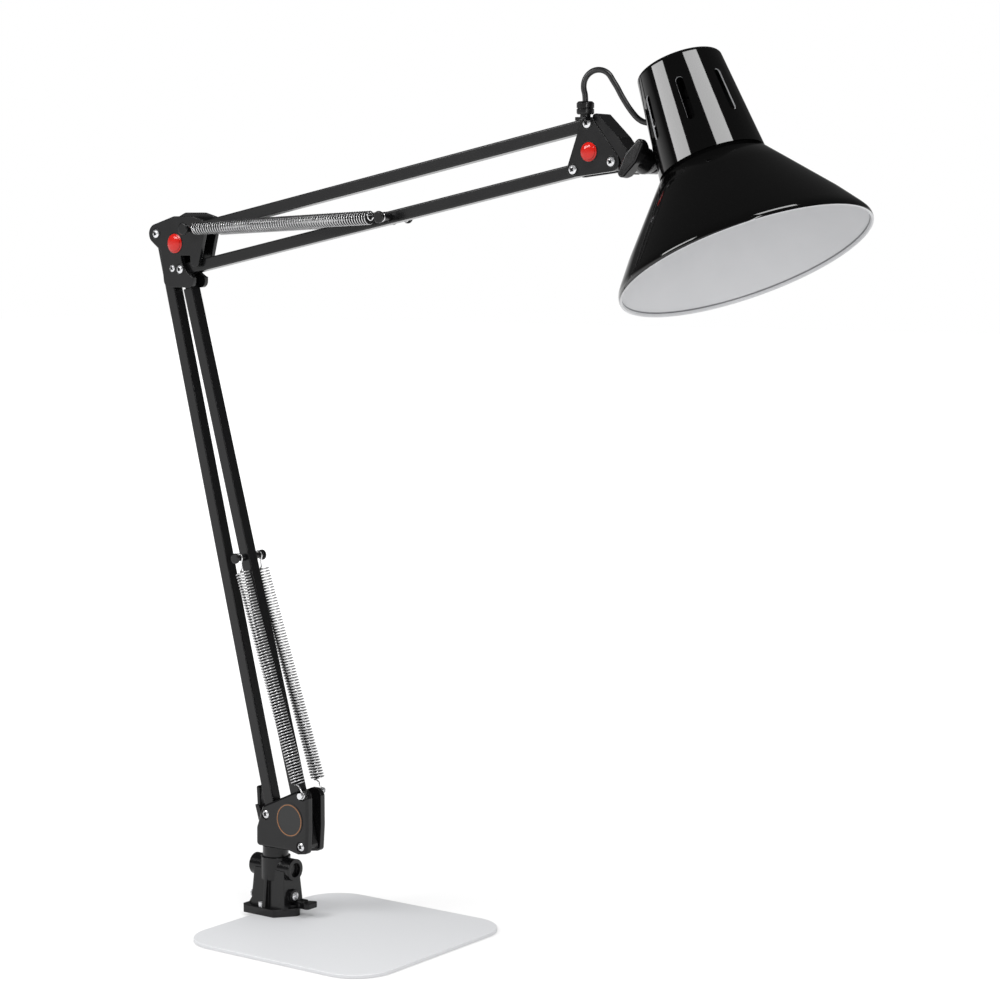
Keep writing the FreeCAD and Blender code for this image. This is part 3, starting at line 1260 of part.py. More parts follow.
CORD_ROUTE = [
    (294.3, -10.8, 613.0), (294.3, -10.8, 617.2), (292.9, -11.1, 621.6), (293.4, -11.0, 626.9),
    (296.3, -10.3, 631.4), (301.0, -9.3, 633.9), (306.3, -8.0, 633.8), (310.9, -7.0, 631.1),
    (313.7, -6.3, 626.3), (316.7, -5.6, 621.8), (319.1, -5.1, 617.2), (321.7, -4.5, 612.9),
    (324.4, -3.8, 608.7), (327.5, -3.1, 604.6), (331.2, -2.3, 600.5), (336.4, -1.1, 597.6),
    (342.3, 0.3, 597.3),
]


def build_cord():
    """Round cord on straight runs joined by tangent arcs."""
    spots = [Vector(*place) for place in CORD_ROUTE]
    edges = []
    radii = []
    last = spots[0]
    for before, corner, after in zip(spots, spots[1:], spots[2:]):
        inward = (corner - before).normalize()
        onward = (after - corner).normalize()
        run = min((corner - before).Length, (after - corner).Length)
        half_turn = inward.getAngle(onward) / 2
        cut = 0.45 * run
        radii.append(cut / math.tan(half_turn))
        start, end = corner - inward * cut, corner + onward * cut
        edges.append(Part.LineSegment(last, start).toShape())
        toward = (onward - inward).normalize()
        bulge = corner + toward * (radii[-1] / math.cos(half_turn) - radii[-1])
        edges.append(Part.Arc(start, bulge, end).toShape())
        last = end
    edges.append(Part.LineSegment(last, spots[-1]).toShape())
    path = Part.Wire(edges)
    radius = size.cord_diameter.value / 2
    ring = Part.Wire([Part.Circle(spots[0], spots[1] - spots[0], radius).toShape()])
    shell = Part.BRepOffsetAPI.MakePipeShell(path)
    shell.add(ring, False, False)
    shell.build()
    shell.makeSolid()
    cord = doc.addObject("Part::Feature", "head_cord")
    cord.Label = "head_cord"
    cord.Shape = shell.shape()
    expected = math.pi * radius * radius * path.Length
    print("head_cord: length %.1f mm, volume %.4f of section times length, radii %s" % (
        path.Length, cord.Shape.Volume / expected, ", ".join("%.1f" % number for number in radii)))
    return node(cord)


build_cord()

# ---------------------------------------------------------------------------------------------
# Checks and export
# ---------------------------------------------------------------------------------------------

doc.recompute()


def check_document():
    """Stops if any object failed, any cut removed nothing or any piece is not a valid solid."""
    for thing in doc.Objects:
        if "Invalid" in thing.State or "Error" in thing.State:
            raise RuntimeError("%s is %s" % (thing.Name, thing.State))
        if thing.TypeId in ("PartDesign::Pocket", "PartDesign::Groove"):
            if thing.BaseFeature.Shape.Volume - thing.Shape.Volume < 0.01:
                raise RuntimeError("%s cuts nothing" % thing.Name)
    for piece in nodes:
        if piece.Shape.isNull() or not piece.Shape.isValid() or not piece.Shape.Solids:
            raise RuntimeError("%s has no valid shape" % piece.Label)


check_document()
os.makedirs("parts", exist_ok=True)
for piece in nodes:
    piece.Shape.exportStep("parts/%s.step" % piece.Label)
print("%d nodes written" % len(nodes))
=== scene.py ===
import json
import math

import bmesh
import bpy
from mathutils import Matrix, Vector


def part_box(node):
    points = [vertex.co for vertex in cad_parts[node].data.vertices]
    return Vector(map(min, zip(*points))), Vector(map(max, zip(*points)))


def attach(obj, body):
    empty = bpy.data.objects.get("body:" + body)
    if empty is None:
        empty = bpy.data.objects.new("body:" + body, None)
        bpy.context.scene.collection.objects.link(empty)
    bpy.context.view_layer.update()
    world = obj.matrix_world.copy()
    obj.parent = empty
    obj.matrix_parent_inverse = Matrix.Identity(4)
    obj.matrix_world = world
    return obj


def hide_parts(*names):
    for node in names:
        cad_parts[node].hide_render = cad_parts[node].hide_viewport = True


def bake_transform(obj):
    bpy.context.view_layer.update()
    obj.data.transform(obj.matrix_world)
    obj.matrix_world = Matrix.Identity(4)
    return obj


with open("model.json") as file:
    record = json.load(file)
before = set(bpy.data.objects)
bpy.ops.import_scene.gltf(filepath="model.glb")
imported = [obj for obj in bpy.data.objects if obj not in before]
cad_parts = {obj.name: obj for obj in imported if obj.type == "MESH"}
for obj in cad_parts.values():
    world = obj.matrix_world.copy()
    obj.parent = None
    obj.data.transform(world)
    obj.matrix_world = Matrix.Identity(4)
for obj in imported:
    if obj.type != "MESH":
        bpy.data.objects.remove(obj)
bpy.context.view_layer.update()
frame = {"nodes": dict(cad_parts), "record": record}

bl_info = {
    "name": "Spring-Balanced Desk Lamp",
    "version": (1, 0, 0),
    "blender": (4, 5, 0),
    "location": "View3D > Sidebar > Desk Lamp",
    "description": "Dresses a spring-balanced desk lamp: springs, cord, trim and finishes",
    "category": "Object",
}

MM = 0.001

# Where the neck's slots begin and end along the shade's axis, from the holder, and the distance
# from the holder to the rim, in metres.
SLOT_TOP, SLOT_FOOT = -0.0225, 0.0115
HOLDER_TO_RIM = 0.105

# Control points of the cord from the gland over to the neck, in metres.
HEAD_CORD_ROUTE = [
    (0.2943, -0.0108, 0.6130), (0.2943, -0.0108, 0.6172), (0.2929, -0.0111, 0.6216),
    (0.2934, -0.0110, 0.6269), (0.2963, -0.0103, 0.6314), (0.3010, -0.0093, 0.6339),
    (0.3063, -0.0080, 0.6338), (0.3109, -0.0070, 0.6311), (0.3137, -0.0063, 0.6263),
    (0.3167, -0.0056, 0.6218), (0.3191, -0.0051, 0.6172), (0.3217, -0.0045, 0.6129),
    (0.3244, -0.0038, 0.6087), (0.3275, -0.0031, 0.6046), (0.3312, -0.0023, 0.6005),
    (0.3364, -0.0011, 0.5976), (0.3423, 0.0003, 0.5973),
]

# ---------------------------------------------------------------------------------------------
# Small tools
# ---------------------------------------------------------------------------------------------


def linear(code):
    """Linear colour with alpha from an sRGB hex code."""
    parts = [int(code[place:place + 2], 16) / 255 for place in (0, 2, 4)]
    return tuple(p / 12.92 if p <= 0.04045 else ((p + 0.055) / 1.055) ** 2.4 for p in parts) + (1.0,)


def add(tree, kind, sockets=None, **settings):
    """Adds a node with its settings; a socket gets a value, or a link given as (node, output)."""
    node = tree.nodes.new(kind)
    for name, value in settings.items():
        setattr(node, name, value)
    for name, value in (sockets or {}).items():
        if isinstance(value, tuple) and isinstance(value[0], bpy.types.Node):
            tree.links.new(value[0].outputs[value[1]], node.inputs[name])
        else:
            node.inputs[name].default_value = value
    return node


def start_material(name):
    """A new material with its tree, its shader and the object's own coordinates."""
    material = bpy.data.materials.new(name)
    material.use_nodes = True
    tree = material.node_tree
    tree.nodes.clear()
    place = add(tree, "ShaderNodeTexCoord")
    shader = add(tree, "ShaderNodeBsdfPrincipled")
    add(tree, "ShaderNodeOutputMaterial", {"Surface": (shader, "BSDF")})
    return material, tree, shader, place


def centre(node):
    """Middle of a CAD node's box."""
    low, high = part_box(node)
    return (low + high) / 2


def lumps(node):
    """Boxes of the separate lumps of a CAD node, as (low, high) corners."""
    mesh = frame["nodes"][node].data
    keys = [tuple(round(c * 1e6) for c in v.co) for v in mesh.vertices]
    parent = {key: key for key in keys}

    def root(key):
        while parent[key] != key:
            parent[key] = parent[parent[key]]
            key = parent[key]
        return key

    for edge in mesh.edges:
        a, b = (root(keys[index]) for index in edge.vertices)
        parent[a] = b
    groups = {}
    for key, vertex in zip(keys, mesh.vertices):
        groups.setdefault(root(key), []).append(vertex.co)
    return [(Vector(map(min, *points)), Vector(map(max, *points))) for points in groups.values()]


def new_object(name, data):
    """An object with its data, in the scene."""
    piece = bpy.data.objects.new(name, data)
    bpy.context.scene.collection.objects.link(piece)
    return piece


def settle(piece, material):
    """Turns a piece with live modifiers into a plain mesh with one material."""
    bpy.context.view_layer.update()
    found = piece.evaluated_get(bpy.context.evaluated_depsgraph_get())
    mesh = bpy.data.meshes.new_from_object(found)
    piece.modifiers.clear()
    piece.data = mesh
    mesh.materials.clear()
    mesh.materials.append(material)
    for face in mesh.polygons:
        face.material_index = 0
    return piece


def run_tree(piece, tree, values):
    """Gives a piece a node tree and sets the tree's named inputs by their identifiers."""
    modifier = piece.modifiers.new(tree.name, "NODES")
    modifier.node_group = tree
    sockets = {item.name: item.identifier for item in tree.interface.items_tree
               if item.item_type == "SOCKET" and item.in_out == "INPUT"}
    for name, value in values.items():
        modifier[sockets[name]] = value


def tree_with(name, inputs):
    """An empty geometry tree with a mesh in, a mesh out and the named inputs."""
    tree = bpy.data.node_groups.new(name, "GeometryNodeTree")
    tree.interface.new_socket("Geometry", in_out="INPUT", socket_type="NodeSocketGeometry")
    for label, kind, value in inputs:
        tree.interface.new_socket(label, in_out="INPUT", socket_type=kind).default_value = value
    tree.interface.new_socket("Geometry", in_out="OUTPUT", socket_type="NodeSocketGeometry")
    return tree, add(tree, "NodeGroupInput")


def dress(finish, *nodes):
    """Gives CAD nodes a finish."""
    for name in nodes:
        mesh = frame["nodes"][name].data
        mesh.materials.clear()
        mesh.materials.append(finish)


# ---------------------------------------------------------------------------------------------
# Finishes
# ---------------------------------------------------------------------------------------------

def speckle(tree, place, millimetres, detail=2.0):
    """Noise whose grains are about this many millimetres across."""
    return add(tree, "ShaderNodeTexNoise", {
        "Vector": (place, "Object"), "Scale": 1.0 / (millimetres * MM), "Detail": detail})


def soft_edges(tree, bump, millimetres):
    """Lets the light catch an edge as if it were rounded by this much."""
    rounded = add(tree, "ShaderNodeBevel", {"Radius": millimetres * MM}, samples=6)
    tree.links.new(rounded.outputs["Normal"], bump.inputs["Normal"])


def powder_coated_steel(settings):
    # Powder coat baked on pressed steel: an even satin skin with a faint orange peel.
    material, tree, shader, place = start_material("powder_coated_steel")
    shader.inputs["Base Color"].default_value = (*settings.plate_colour, 1.0)
    shader.inputs["IOR"].default_value = 1.5
    peel = speckle(tree, place, 1.4)
    rough = add(tree, "ShaderNodeMapRange", {"Value": (peel, "Fac"), "To Min": 0.34, "To Max": 0.44})
    tree.links.new(rough.outputs["Result"], shader.inputs["Roughness"])
    bump = add(tree, "ShaderNodeBump", {"Height": (peel, "Fac"), "Strength": 0.05, "Distance": 0.05 * MM})
    tree.links.new(bump.outputs["Normal"], shader.inputs["Normal"])
    return material


def moulded_nylon(settings):
    # Glass-filled nylon from a spark-eroded mould: black with a fine even grain and a soft shine.
    # The real grain is about 0.1 mm, and is drawn at 0.5 mm so that it shows.
    material, tree, shader, place = start_material("moulded_nylon")
    grain = speckle(tree, place, 0.5)
    cloud = speckle(tree, place, 9.0)
    tint = add(tree, "ShaderNodeMix", {
        "Factor": (cloud, "Fac"), "A": linear("0A0A0B"), "B": linear("141415")}, data_type="RGBA")
    tree.links.new(tint.outputs["Result"], shader.inputs["Base Color"])
    shader.inputs["Specular IOR Level"].default_value = 0.34
    rough = add(tree, "ShaderNodeMapRange", {"Value": (cloud, "Fac"), "To Min": 0.16, "To Max": 0.28})
    tree.links.new(rough.outputs["Result"], shader.inputs["Roughness"])
    bump = add(tree, "ShaderNodeBump", {"Height": (grain, "Fac"), "Strength": 0.1, "Distance": 0.06 * MM})
    soft_edges(tree, bump, 0.8)
    tree.links.new(bump.outputs["Normal"], shader.inputs["Normal"])
    return material


def lacquered_tube(settings):
    # Stoved black lacquer on square steel tube: semi-gloss with slight waviness along the tube.
    material, tree, shader, place = start_material("lacquered_tube")
    shader.inputs["Specular IOR Level"].default_value = 0.36
    wave = speckle(tree, place, 14.0)
    tint = add(tree, "ShaderNodeMix", {
        "Factor": (wave, "Fac"), "A": linear("0A0A0B"), "B": linear("131314")}, data_type="RGBA")
    tree.links.new(tint.outputs["Result"], shader.inputs["Base Color"])
    fine = speckle(tree, place, 0.7)
    rough = add(tree, "ShaderNodeMapRange", {"Value": (fine, "Fac"), "To Min": 0.18, "To Max": 0.3})
    tree.links.new(rough.outputs["Result"], shader.inputs["Roughness"])
    bump = add(tree, "ShaderNodeBump", {"Height": (fine, "Fac"), "Strength": 0.06, "Distance": 0.03 * MM})
    soft_edges(tree, bump, 1.2)
    tree.links.new(bump.outputs["Normal"], shader.inputs["Normal"])
    return material


def axis_of_shade(tree, place):
    """Distance along the shade's axis from the holder toward the rim, and the way out from the axis."""
    socket = next(m for m in frame["record"]["mounts"] if m["name"] == "lamp_socket")
    axis = tuple(Vector(socket["axis"]).normalized())
    offset = add(tree, "ShaderNodeVectorMath", {0: (place, "Object"), 1: tuple(socket["pos_m"])},
                 operation="SUBTRACT")
    run = add(tree, "ShaderNodeVectorMath", {0: (offset, "Vector"), 1: axis}, operation="DOT_PRODUCT")
    line = add(tree, "ShaderNodeVectorMath", {0: axis, "Scale": (run, "Value")}, operation="SCALE")
    outward = add(tree, "ShaderNodeVectorMath", {0: (offset, "Vector"), 1: (line, "Vector")},
                  operation="SUBTRACT")
    outward = add(tree, "ShaderNodeVectorMath", {0: (outward, "Vector")}, operation="NORMALIZE")
    surface = add(tree, "ShaderNodeNewGeometry")
    facing = add(tree, "ShaderNodeVectorMath", {0: (outward, "Vector"), 1: (surface, "True Normal")},
                 operation="DOT_PRODUCT")
    return run, facing


def spray_ripple(tree, place, shader):
    """The faint ripple that a spray gun leaves in enamel."""
    ripple = speckle(tree, place, 7.0, 0.0)
    bump = add(tree, "ShaderNodeBump", {"Height": (ripple, "Fac"), "Strength": 0.05, "Distance": 0.04 * MM})
    tree.links.new(bump.outputs["Normal"], shader.inputs["Normal"])


def gloss_enamel(settings):
    # Stoved enamel on spun steel: deep gloss black with a faint ripple from the spray gun.
    material, tree, shader, place = start_material("gloss_enamel")
    shader.inputs["Specular IOR Level"].default_value = 0.45
    cloud = speckle(tree, place, 25.0)
    black = Vector(settings.shade_colour)
    tint = add(tree, "ShaderNodeMix", {
        "Factor": (cloud, "Fac"), "A": (*(black * 0.8), 1.0), "B": (*black, 1.0)}, data_type="RGBA")
    tree.links.new(tint.outputs["Result"], shader.inputs["Base Color"])
    rough = add(tree, "ShaderNodeMapRange", {"Value": (cloud, "Fac"), "To Min": 0.04, "To Max": 0.08})
    tree.links.new(rough.outputs["Result"], shader.inputs["Roughness"])
    spray_ripple(tree, place, shader)
    return material


def neck_enamel(settings):
    # The same enamel on the neck. Its inside is dark, and the cut edges of the slots get a painted
    # highlight in pale grey. A face is inside where it looks toward the axis, and a cut edge where it
    # looks along the wall.
    material, tree, shader, place = start_material("neck_enamel")
    shader.inputs["Specular IOR Level"].default_value = 0.45
    run, facing = axis_of_shade(tree, place)
    away = add(tree, "ShaderNodeMath", {0: (facing, "Value")}, operation="ABSOLUTE")
    edge = add(tree, "ShaderNodeMath", {0: (away, "Value"), 1: 0.6}, operation="LESS_THAN")
    level = add(tree, "ShaderNodeMath", {0: (run, "Value"), 1: SLOT_TOP}, operation="GREATER_THAN")
    below = add(tree, "ShaderNodeMath", {0: (run, "Value"), 1: SLOT_FOOT}, operation="LESS_THAN")
    slot_edge_highlight = add(tree, "ShaderNodeMath", {0: (edge, "Value"), 1: (level, "Value")}, operation="MULTIPLY")
    slot_edge_highlight = add(tree, "ShaderNodeMath", {0: (slot_edge_highlight, "Value"), 1: (below, "Value")}, operation="MULTIPLY")
    inside = add(tree, "ShaderNodeMath", {0: (facing, "Value"), 1: -0.6}, operation="LESS_THAN")
    wall = add(tree, "ShaderNodeMix", {
        "Factor": (inside, "Value"), "A": (*settings.shade_colour, 1.0), "B": linear("101010")},
        data_type="RGBA")
    # Painted highlight: the slots' cut edges are drawn pale grey.
    tint = add(tree, "ShaderNodeMix", {
        "Factor": (slot_edge_highlight, "Value"), "A": (wall, "Result"), "B": linear("B8B9BB")}, data_type="RGBA")
    tree.links.new(tint.outputs["Result"], shader.inputs["Base Color"])
    dull = add(tree, "ShaderNodeMath", {0: (slot_edge_highlight, "Value"), 1: (inside, "Value")}, operation="MAXIMUM")
    rough = add(tree, "ShaderNodeMapRange", {"Value": (dull, "Value"), "To Min": 0.05, "To Max": 0.6})
    tree.links.new(rough.outputs["Result"], shader.inputs["Roughness"])
    spray_ripple(tree, place, shader)
    return material


def white_enamel(settings):
    # Satin white reflector enamel inside the cone. A darker line of painted shade is drawn in the crease
    # where the rolled rim begins, so that the rim reads. The rise attribute is the height above the rim.
    material, tree, shader, place = start_material("white_enamel")
    rise = add(tree, "ShaderNodeAttribute", attribute_name="rise")
    off = add(tree, "ShaderNodeMath", {0: (rise, "Fac"), 1: settings.crease}, operation="SUBTRACT")
    near = add(tree, "ShaderNodeMath", {0: (off, "Value")}, operation="ABSOLUTE")
    crease = add(tree, "ShaderNodeMapRange", {
        "Value": (near, "Value"), "From Min": 0.0002, "From Max": 0.0008, "To Min": 0.0, "To Max": 1.0})
    cloud = speckle(tree, place, 30.0)
    pale = add(tree, "ShaderNodeMix", {
        "Factor": (cloud, "Fac"), "A": linear("DFE0E2"), "B": linear("E8E8EA")}, data_type="RGBA")
    # Painted shade: the crease line is drawn darker than the enamel.
    tint = add(tree, "ShaderNodeMix", {
        "Factor": (crease, "Result"), "A": linear("77787B"), "B": (pale, "Result")}, data_type="RGBA")
    tree.links.new(tint.outputs["Result"], shader.inputs["Base Color"])
    rough = add(tree, "ShaderNodeMapRange", {"Value": (cloud, "Fac"), "To Min": 0.3, "To Max": 0.4})
    tree.links.new(rough.outputs["Result"], shader.inputs["Roughness"])
    return material


def bright_zinc(settings):
    # Bright zinc on drawn spring wire and on screws: a clear metal shine with faint drawing marks.
    material, tree, shader, place = start_material("bright_zinc")
    shader.inputs["Metallic"].default_value = 0.75
    cloud = speckle(tree, place, 3.0)
    tint = add(tree, "ShaderNodeMix", {
        "Factor": (cloud, "Fac"), "A": linear("CFD0D2"), "B": linear("EDEDEF")}, data_type="RGBA")
    tree.links.new(tint.outputs["Result"], shader.inputs["Base Color"])
    fine = speckle(tree, place, 0.4)
    rough = add(tree, "ShaderNodeMapRange", {"Value": (fine, "Fac"), "To Min": 0.18, "To Max": 0.34})
    tree.links.new(rough.outputs["Result"], shader.inputs["Roughness"])
    return material


def spring_zinc(settings):
    # Bright zinc on coiled spring wire: each turn shines on its crest. The inside of the coil carries
    # painted shade, darker than the metal is, so that the turns show. The crest attribute is 0 inside, 1 outside.
    material, tree, shader, place = start_material("spring_zinc")
    shader.inputs["Metallic"].default_value = 1.0
    crest = add(tree, "ShaderNodeAttribute", attribute_name="crest")
    fine = speckle(tree, place, 0.4)
    # Painted shade: the inside of the coil is drawn dark and the crest light.
    tint = add(tree, "ShaderNodeMix", {
        "Factor": (crest, "Fac"), "A": linear("1C1C1D"), "B": linear("F2F2F3")}, data_type="RGBA")
    tree.links.new(tint.outputs["Result"], shader.inputs["Base Color"])
    rough = add(tree, "ShaderNodeMapRange", {"Value": (fine, "Fac"), "To Min": 0.2, "To Max": 0.34})
    tree.links.new(rough.outputs["Result"], shader.inputs["Roughness"])
    return material


def pressed_steel(settings):
    # Plain cold-rolled strip: grey metal with a directionless rolled haze.
    material, tree, shader, place = start_material("pressed_steel")
    shader.inputs["Metallic"].default_value = 1.0
    haze = speckle(tree, place, 2.0, 4.0)
    tint = add(tree, "ShaderNodeMix", {
        "Factor": (haze, "Fac"), "A": linear("77787A"), "B": linear("9A9B9D")}, data_type="RGBA")
    tree.links.new(tint.outputs["Result"], shader.inputs["Base Color"])
    rough = add(tree, "ShaderNodeMapRange", {"Value": (haze, "Fac"), "To Min": 0.3, "To Max": 0.45})
    tree.links.new(rough.outputs["Result"], shader.inputs["Roughness"])
    return material


def red_styrene(settings):
    # Polished polystyrene cap: clear red with a glassy face.
    material, tree, shader, place = start_material("red_styrene")
    cloud = speckle(tree, place, 4.0)
    red = Vector(settings.cap_colour)
    tint = add(tree, "ShaderNodeMix", {
        "Factor": (cloud, "Fac"), "A": (*(red * 0.86), 1.0), "B": (*red, 1.0)}, data_type="RGBA")
    tree.links.new(tint.outputs["Result"], shader.inputs["Base Color"])
    shader.inputs["Specular IOR Level"].default_value = 0.4
    rough = add(tree, "ShaderNodeMapRange", {"Value": (cloud, "Fac"), "To Min": 0.08, "To Max": 0.16})
    tree.links.new(rough.outputs["Result"], shader.inputs["Roughness"])
    return material


def cord_sheath(settings):
    # Extruded PVC sheath: black, a little waxy, with a slight mottled sheen.
    material, tree, shader, place = start_material("cord_sheath")
    cloud = speckle(tree, place, 2.5)
    tint = add(tree, "ShaderNodeMix", {
        "Factor": (cloud, "Fac"), "A": linear("121213"), "B": linear("1E1E1F")}, data_type="RGBA")
    tree.links.new(tint.outputs["Result"], shader.inputs["Base Color"])
    rough = add(tree, "ShaderNodeMapRange", {"Value": (cloud, "Fac"), "To Min": 0.3, "To Max": 0.42})
    tree.links.new(rough.outputs["Result"], shader.inputs["Roughness"])
    return material


def foam_sheet(settings):
    # Closed-cell sheet under the plate: dull dark grey with fine pores.
    material, tree, shader, place = start_material("foam_sheet")
    pores = speckle(tree, place, 0.8)
    tint = add(tree, "ShaderNodeMix", {
        "Factor": (pores, "Fac"), "A": linear("2A2A2B"), "B": linear("3C3C3D")}, data_type="RGBA")
    tree.links.new(tint.outputs["Result"], shader.inputs["Base Color"])
    shader.inputs["Roughness"].default_value = 0.85
    return material


def badge_disc(settings):
    # Printed disc on the casing: satin black with one plain copper-coloured ring.
    material, tree, shader, place = start_material("badge_disc")
    middle = centre("casing_medallion")
    away = add(tree, "ShaderNodeVectorMath", {0: (place, "Object"), 1: tuple(middle)}, operation="DISTANCE")
    off = add(tree, "ShaderNodeMath", {0: (away, "Value"), 1: settings.ring_radius}, operation="SUBTRACT")
    near = add(tree, "ShaderNodeMath", {0: (off, "Value")}, operation="ABSOLUTE")
    ring = add(tree, "ShaderNodeMath", {0: (near, "Value"), 1: 0.35 * MM}, operation="LESS_THAN")
    tint = add(tree, "ShaderNodeMix", {
        "Factor": (ring, "Value"), "A": linear("131313"), "B": linear("9A6A45")}, data_type="RGBA")
    tree.links.new(tint.outputs["Result"], shader.inputs["Base Color"])
    rough = add(tree, "ShaderNodeMapRange", {"Value": (ring, "Value"), "To Min": 0.3, "To Max": 0.45})
    tree.links.new(rough.outputs["Result"], shader.inputs["Roughness"])
    return material


FINISHES = {
    "powder_coated_steel": powder_coated_steel, "moulded_nylon": moulded_nylon,
    "lacquered_tube": lacquered_tube, "gloss_enamel": gloss_enamel,
    "neck_enamel": neck_enamel, "white_enamel": white_enamel,
    "bright_zinc": bright_zinc, "spring_zinc": spring_zinc, "pressed_steel": pressed_steel, "red_styrene": red_styrene,
    "cord_sheath": cord_sheath, "foam_sheet": foam_sheet, "badge_disc": badge_disc,
}


def finish(name):
    """The named finish, made once."""
    found = bpy.data.materials.get(name)
    return found or FINISHES[name](bpy.context.scene.desk_lamp)


# ---------------------------------------------------------------------------------------------
# Sizes and colours
# ---------------------------------------------------------------------------------------------

class LampSettings(bpy.types.PropertyGroup):
    """Sizes and colours of the lamp that a user may change."""

    cord_diameter: bpy.props.FloatProperty(
        name="Cord Diameter", description="Thickness of the cord at the head", default=0.004,
        min=0.003, max=0.008, unit="LENGTH")
    lower_wire: bpy.props.FloatProperty(
        name="Lower Spring Wire", description="Wire diameter of the two lower springs",
        default=0.0012, min=0.0006, max=0.002, unit="LENGTH")
    lower_turns: bpy.props.IntProperty(
        name="Lower Spring Turns", description="Turns of each lower spring", default=77, min=20, max=150)
    upper_wire: bpy.props.FloatProperty(
        name="Upper Spring Wire", description="Wire diameter of the two upper springs",
        default=0.00092, min=0.0006, max=0.002, unit="LENGTH")
    upper_turns: bpy.props.IntProperty(
        name="Upper Spring Turns", description="Turns of each upper spring", default=74, min=20, max=170)
    plate_colour: bpy.props.FloatVectorProperty(
        name="Plate", description="Colour of the base plate", subtype="COLOR", size=3,
        default=linear("DEDFE1")[:3], min=0.0, max=1.0)
    shade_colour: bpy.props.FloatVectorProperty(
        name="Shade", description="Colour of the shade's outside", subtype="COLOR", size=3,
        default=linear("060606")[:3], min=0.0, max=1.0)
    cap_colour: bpy.props.FloatVectorProperty(
        name="Caps", description="Colour of the round caps", subtype="COLOR", size=3,
        default=linear("CE2018")[:3], min=0.0, max=1.0)
    ring_radius: bpy.props.FloatProperty(
        name="Badge Ring", description="Radius of the ring on the casing's badge", default=0.01185,
        min=0.005, max=0.013, unit="LENGTH")
    # The crease height places the line of painted shade inside the rim.
    crease: bpy.props.FloatProperty(
        name="Rim Crease", description="Height of the crease above the shade's rim",
        default=0.0027, min=0.001, max=0.008, unit="LENGTH")
    lip_height: bpy.props.FloatProperty(
        name="Lip Height", description="Height of the straight lip at the shade's rim",
        default=0.0036, min=0.002, max=0.008, unit="LENGTH")


# ---------------------------------------------------------------------------------------------
# Operators
# ---------------------------------------------------------------------------------------------

class LAMP_OT_camera(bpy.types.Operator):
    """Adds the camera that looks at the lamp from the front right"""
    bl_idname = "desk_lamp.camera"
    bl_label = "Camera"

    def execute(self, context):
        lens = bpy.data.cameras.new("lamp_camera")
        lens.sensor_width = 36.0
        lens.lens = 90.0
        lens.clip_start, lens.clip_end = 0.1, 50.0
        camera = new_object("lamp_camera", lens)
        camera.location = (1.2585, -1.4260, 0.5156)
        camera.rotation_euler = Vector((-0.5876, 0.8028, -0.1011)).to_track_quat("-Z", "Y").to_euler()
        context.scene.camera = camera
        return {"FINISHED"}


class LAMP_OT_head_cord(bpy.types.Operator):
    """Adds the short cord from the gland into the shade"""
    bl_idname = "desk_lamp.head_cord"
    bl_label = "Head Cord"

    def execute(self, context):
        diameter = context.scene.desk_lamp.cord_diameter
        line = bpy.data.curves.new("head_flex", "CURVE")
        line.dimensions = "3D"
        spline = line.splines.new("NURBS")
        spline.points.add(len(HEAD_CORD_ROUTE) - 1)
        for point, place in zip(spline.points, HEAD_CORD_ROUTE):
            point.co = (*place, 1.0)
        spline.order_u = 3
        spline.use_endpoint_u = True
        spline.resolution_u = 12
        line.bevel_depth = diameter / 2
        line.bevel_resolution = 6
        line.use_fill_caps = True
        line.materials.append(finish("cord_sheath"))
        piece = new_object("head_flex", line)
        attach(piece, "head_bracket")
        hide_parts("head_cord")
        return {"FINISHED"}


def wire_line(start, end, coil_radius, turns, hooks, leads):
    """Points of a spring's wire: hook round the first peg, coil, hook round the second peg."""
    span = end - start
    length = span.length
    up = span.normalized()
    side = Vector((0, 1, 0)).cross(up)
    points = []
    for step in range(21):
        turn = math.radians(75 + 240 * step / 20)
        points.append((hooks[0] * math.sin(turn), 0.0, hooks[0] * math.cos(turn)))
    low, high = leads[0], length - leads[1]
    points.extend([(-hooks[0] * 0.3, 0.0, hooks[0] * 1.35), (0.0, 0.0, low * 0.82)])
    steps = turns * 14
    for step in range(steps + 1):
        turn = math.tau * turns * step / steps
        fade = min(1.0, 0.35 + step / 9, 0.35 + (steps - step) / 9)
        points.append((coil_radius * fade * math.cos(turn), coil_radius * fade * math.sin(turn),
                       low + (high - low) * step / steps))
    points.extend([(0.0, 0.0, length - leads[1] * 0.82), (-hooks[1] * 0.3, 0.0, length - hooks[1] * 1.35)])
    for step in range(21):
        turn = math.radians(225 + 240 * step / 20)
        points.append((hooks[1] * math.sin(turn), 0.0, length + hooks[1] * math.cos(turn)))
    return [start + side * x + Vector((0, 1, 0)) * y + up * z for x, y, z in points]


def wire_tree():
    """A tree that turns a line of vertices into round wire."""
    found = bpy.data.node_groups.get("round_wire")
    if found:
        return found
    tree, inputs = tree_with("round_wire", [
        ("Wire Radius", "NodeSocketFloat", 0.0005), ("Sides", "NodeSocketInt", 7),
        ("Finish", "NodeSocketMaterial", None)])
    line = add(tree, "GeometryNodeMeshToCurve", {"Mesh": (inputs, "Geometry")})
    ring = add(tree, "GeometryNodeCurvePrimitiveCircle", {
        "Resolution": (inputs, "Sides"), "Radius": (inputs, "Wire Radius")})
    tube = add(tree, "GeometryNodeCurveToMesh", {
        "Curve": (line, "Curve"), "Profile Curve": (ring, "Curve"), "Fill Caps": True})
    smooth = add(tree, "GeometryNodeSetShadeSmooth", {"Geometry": (tube, "Mesh")})
    whole = add(tree, "GeometryNodeRealizeInstances", {"Geometry": (smooth, "Geometry")})
    coloured = add(tree, "GeometryNodeSetMaterial", {
        "Geometry": (whole, "Geometry"), "Material": (inputs, "Finish")})
    add(tree, "NodeGroupOutput", {"Geometry": (coloured, "Geometry")})
    return tree


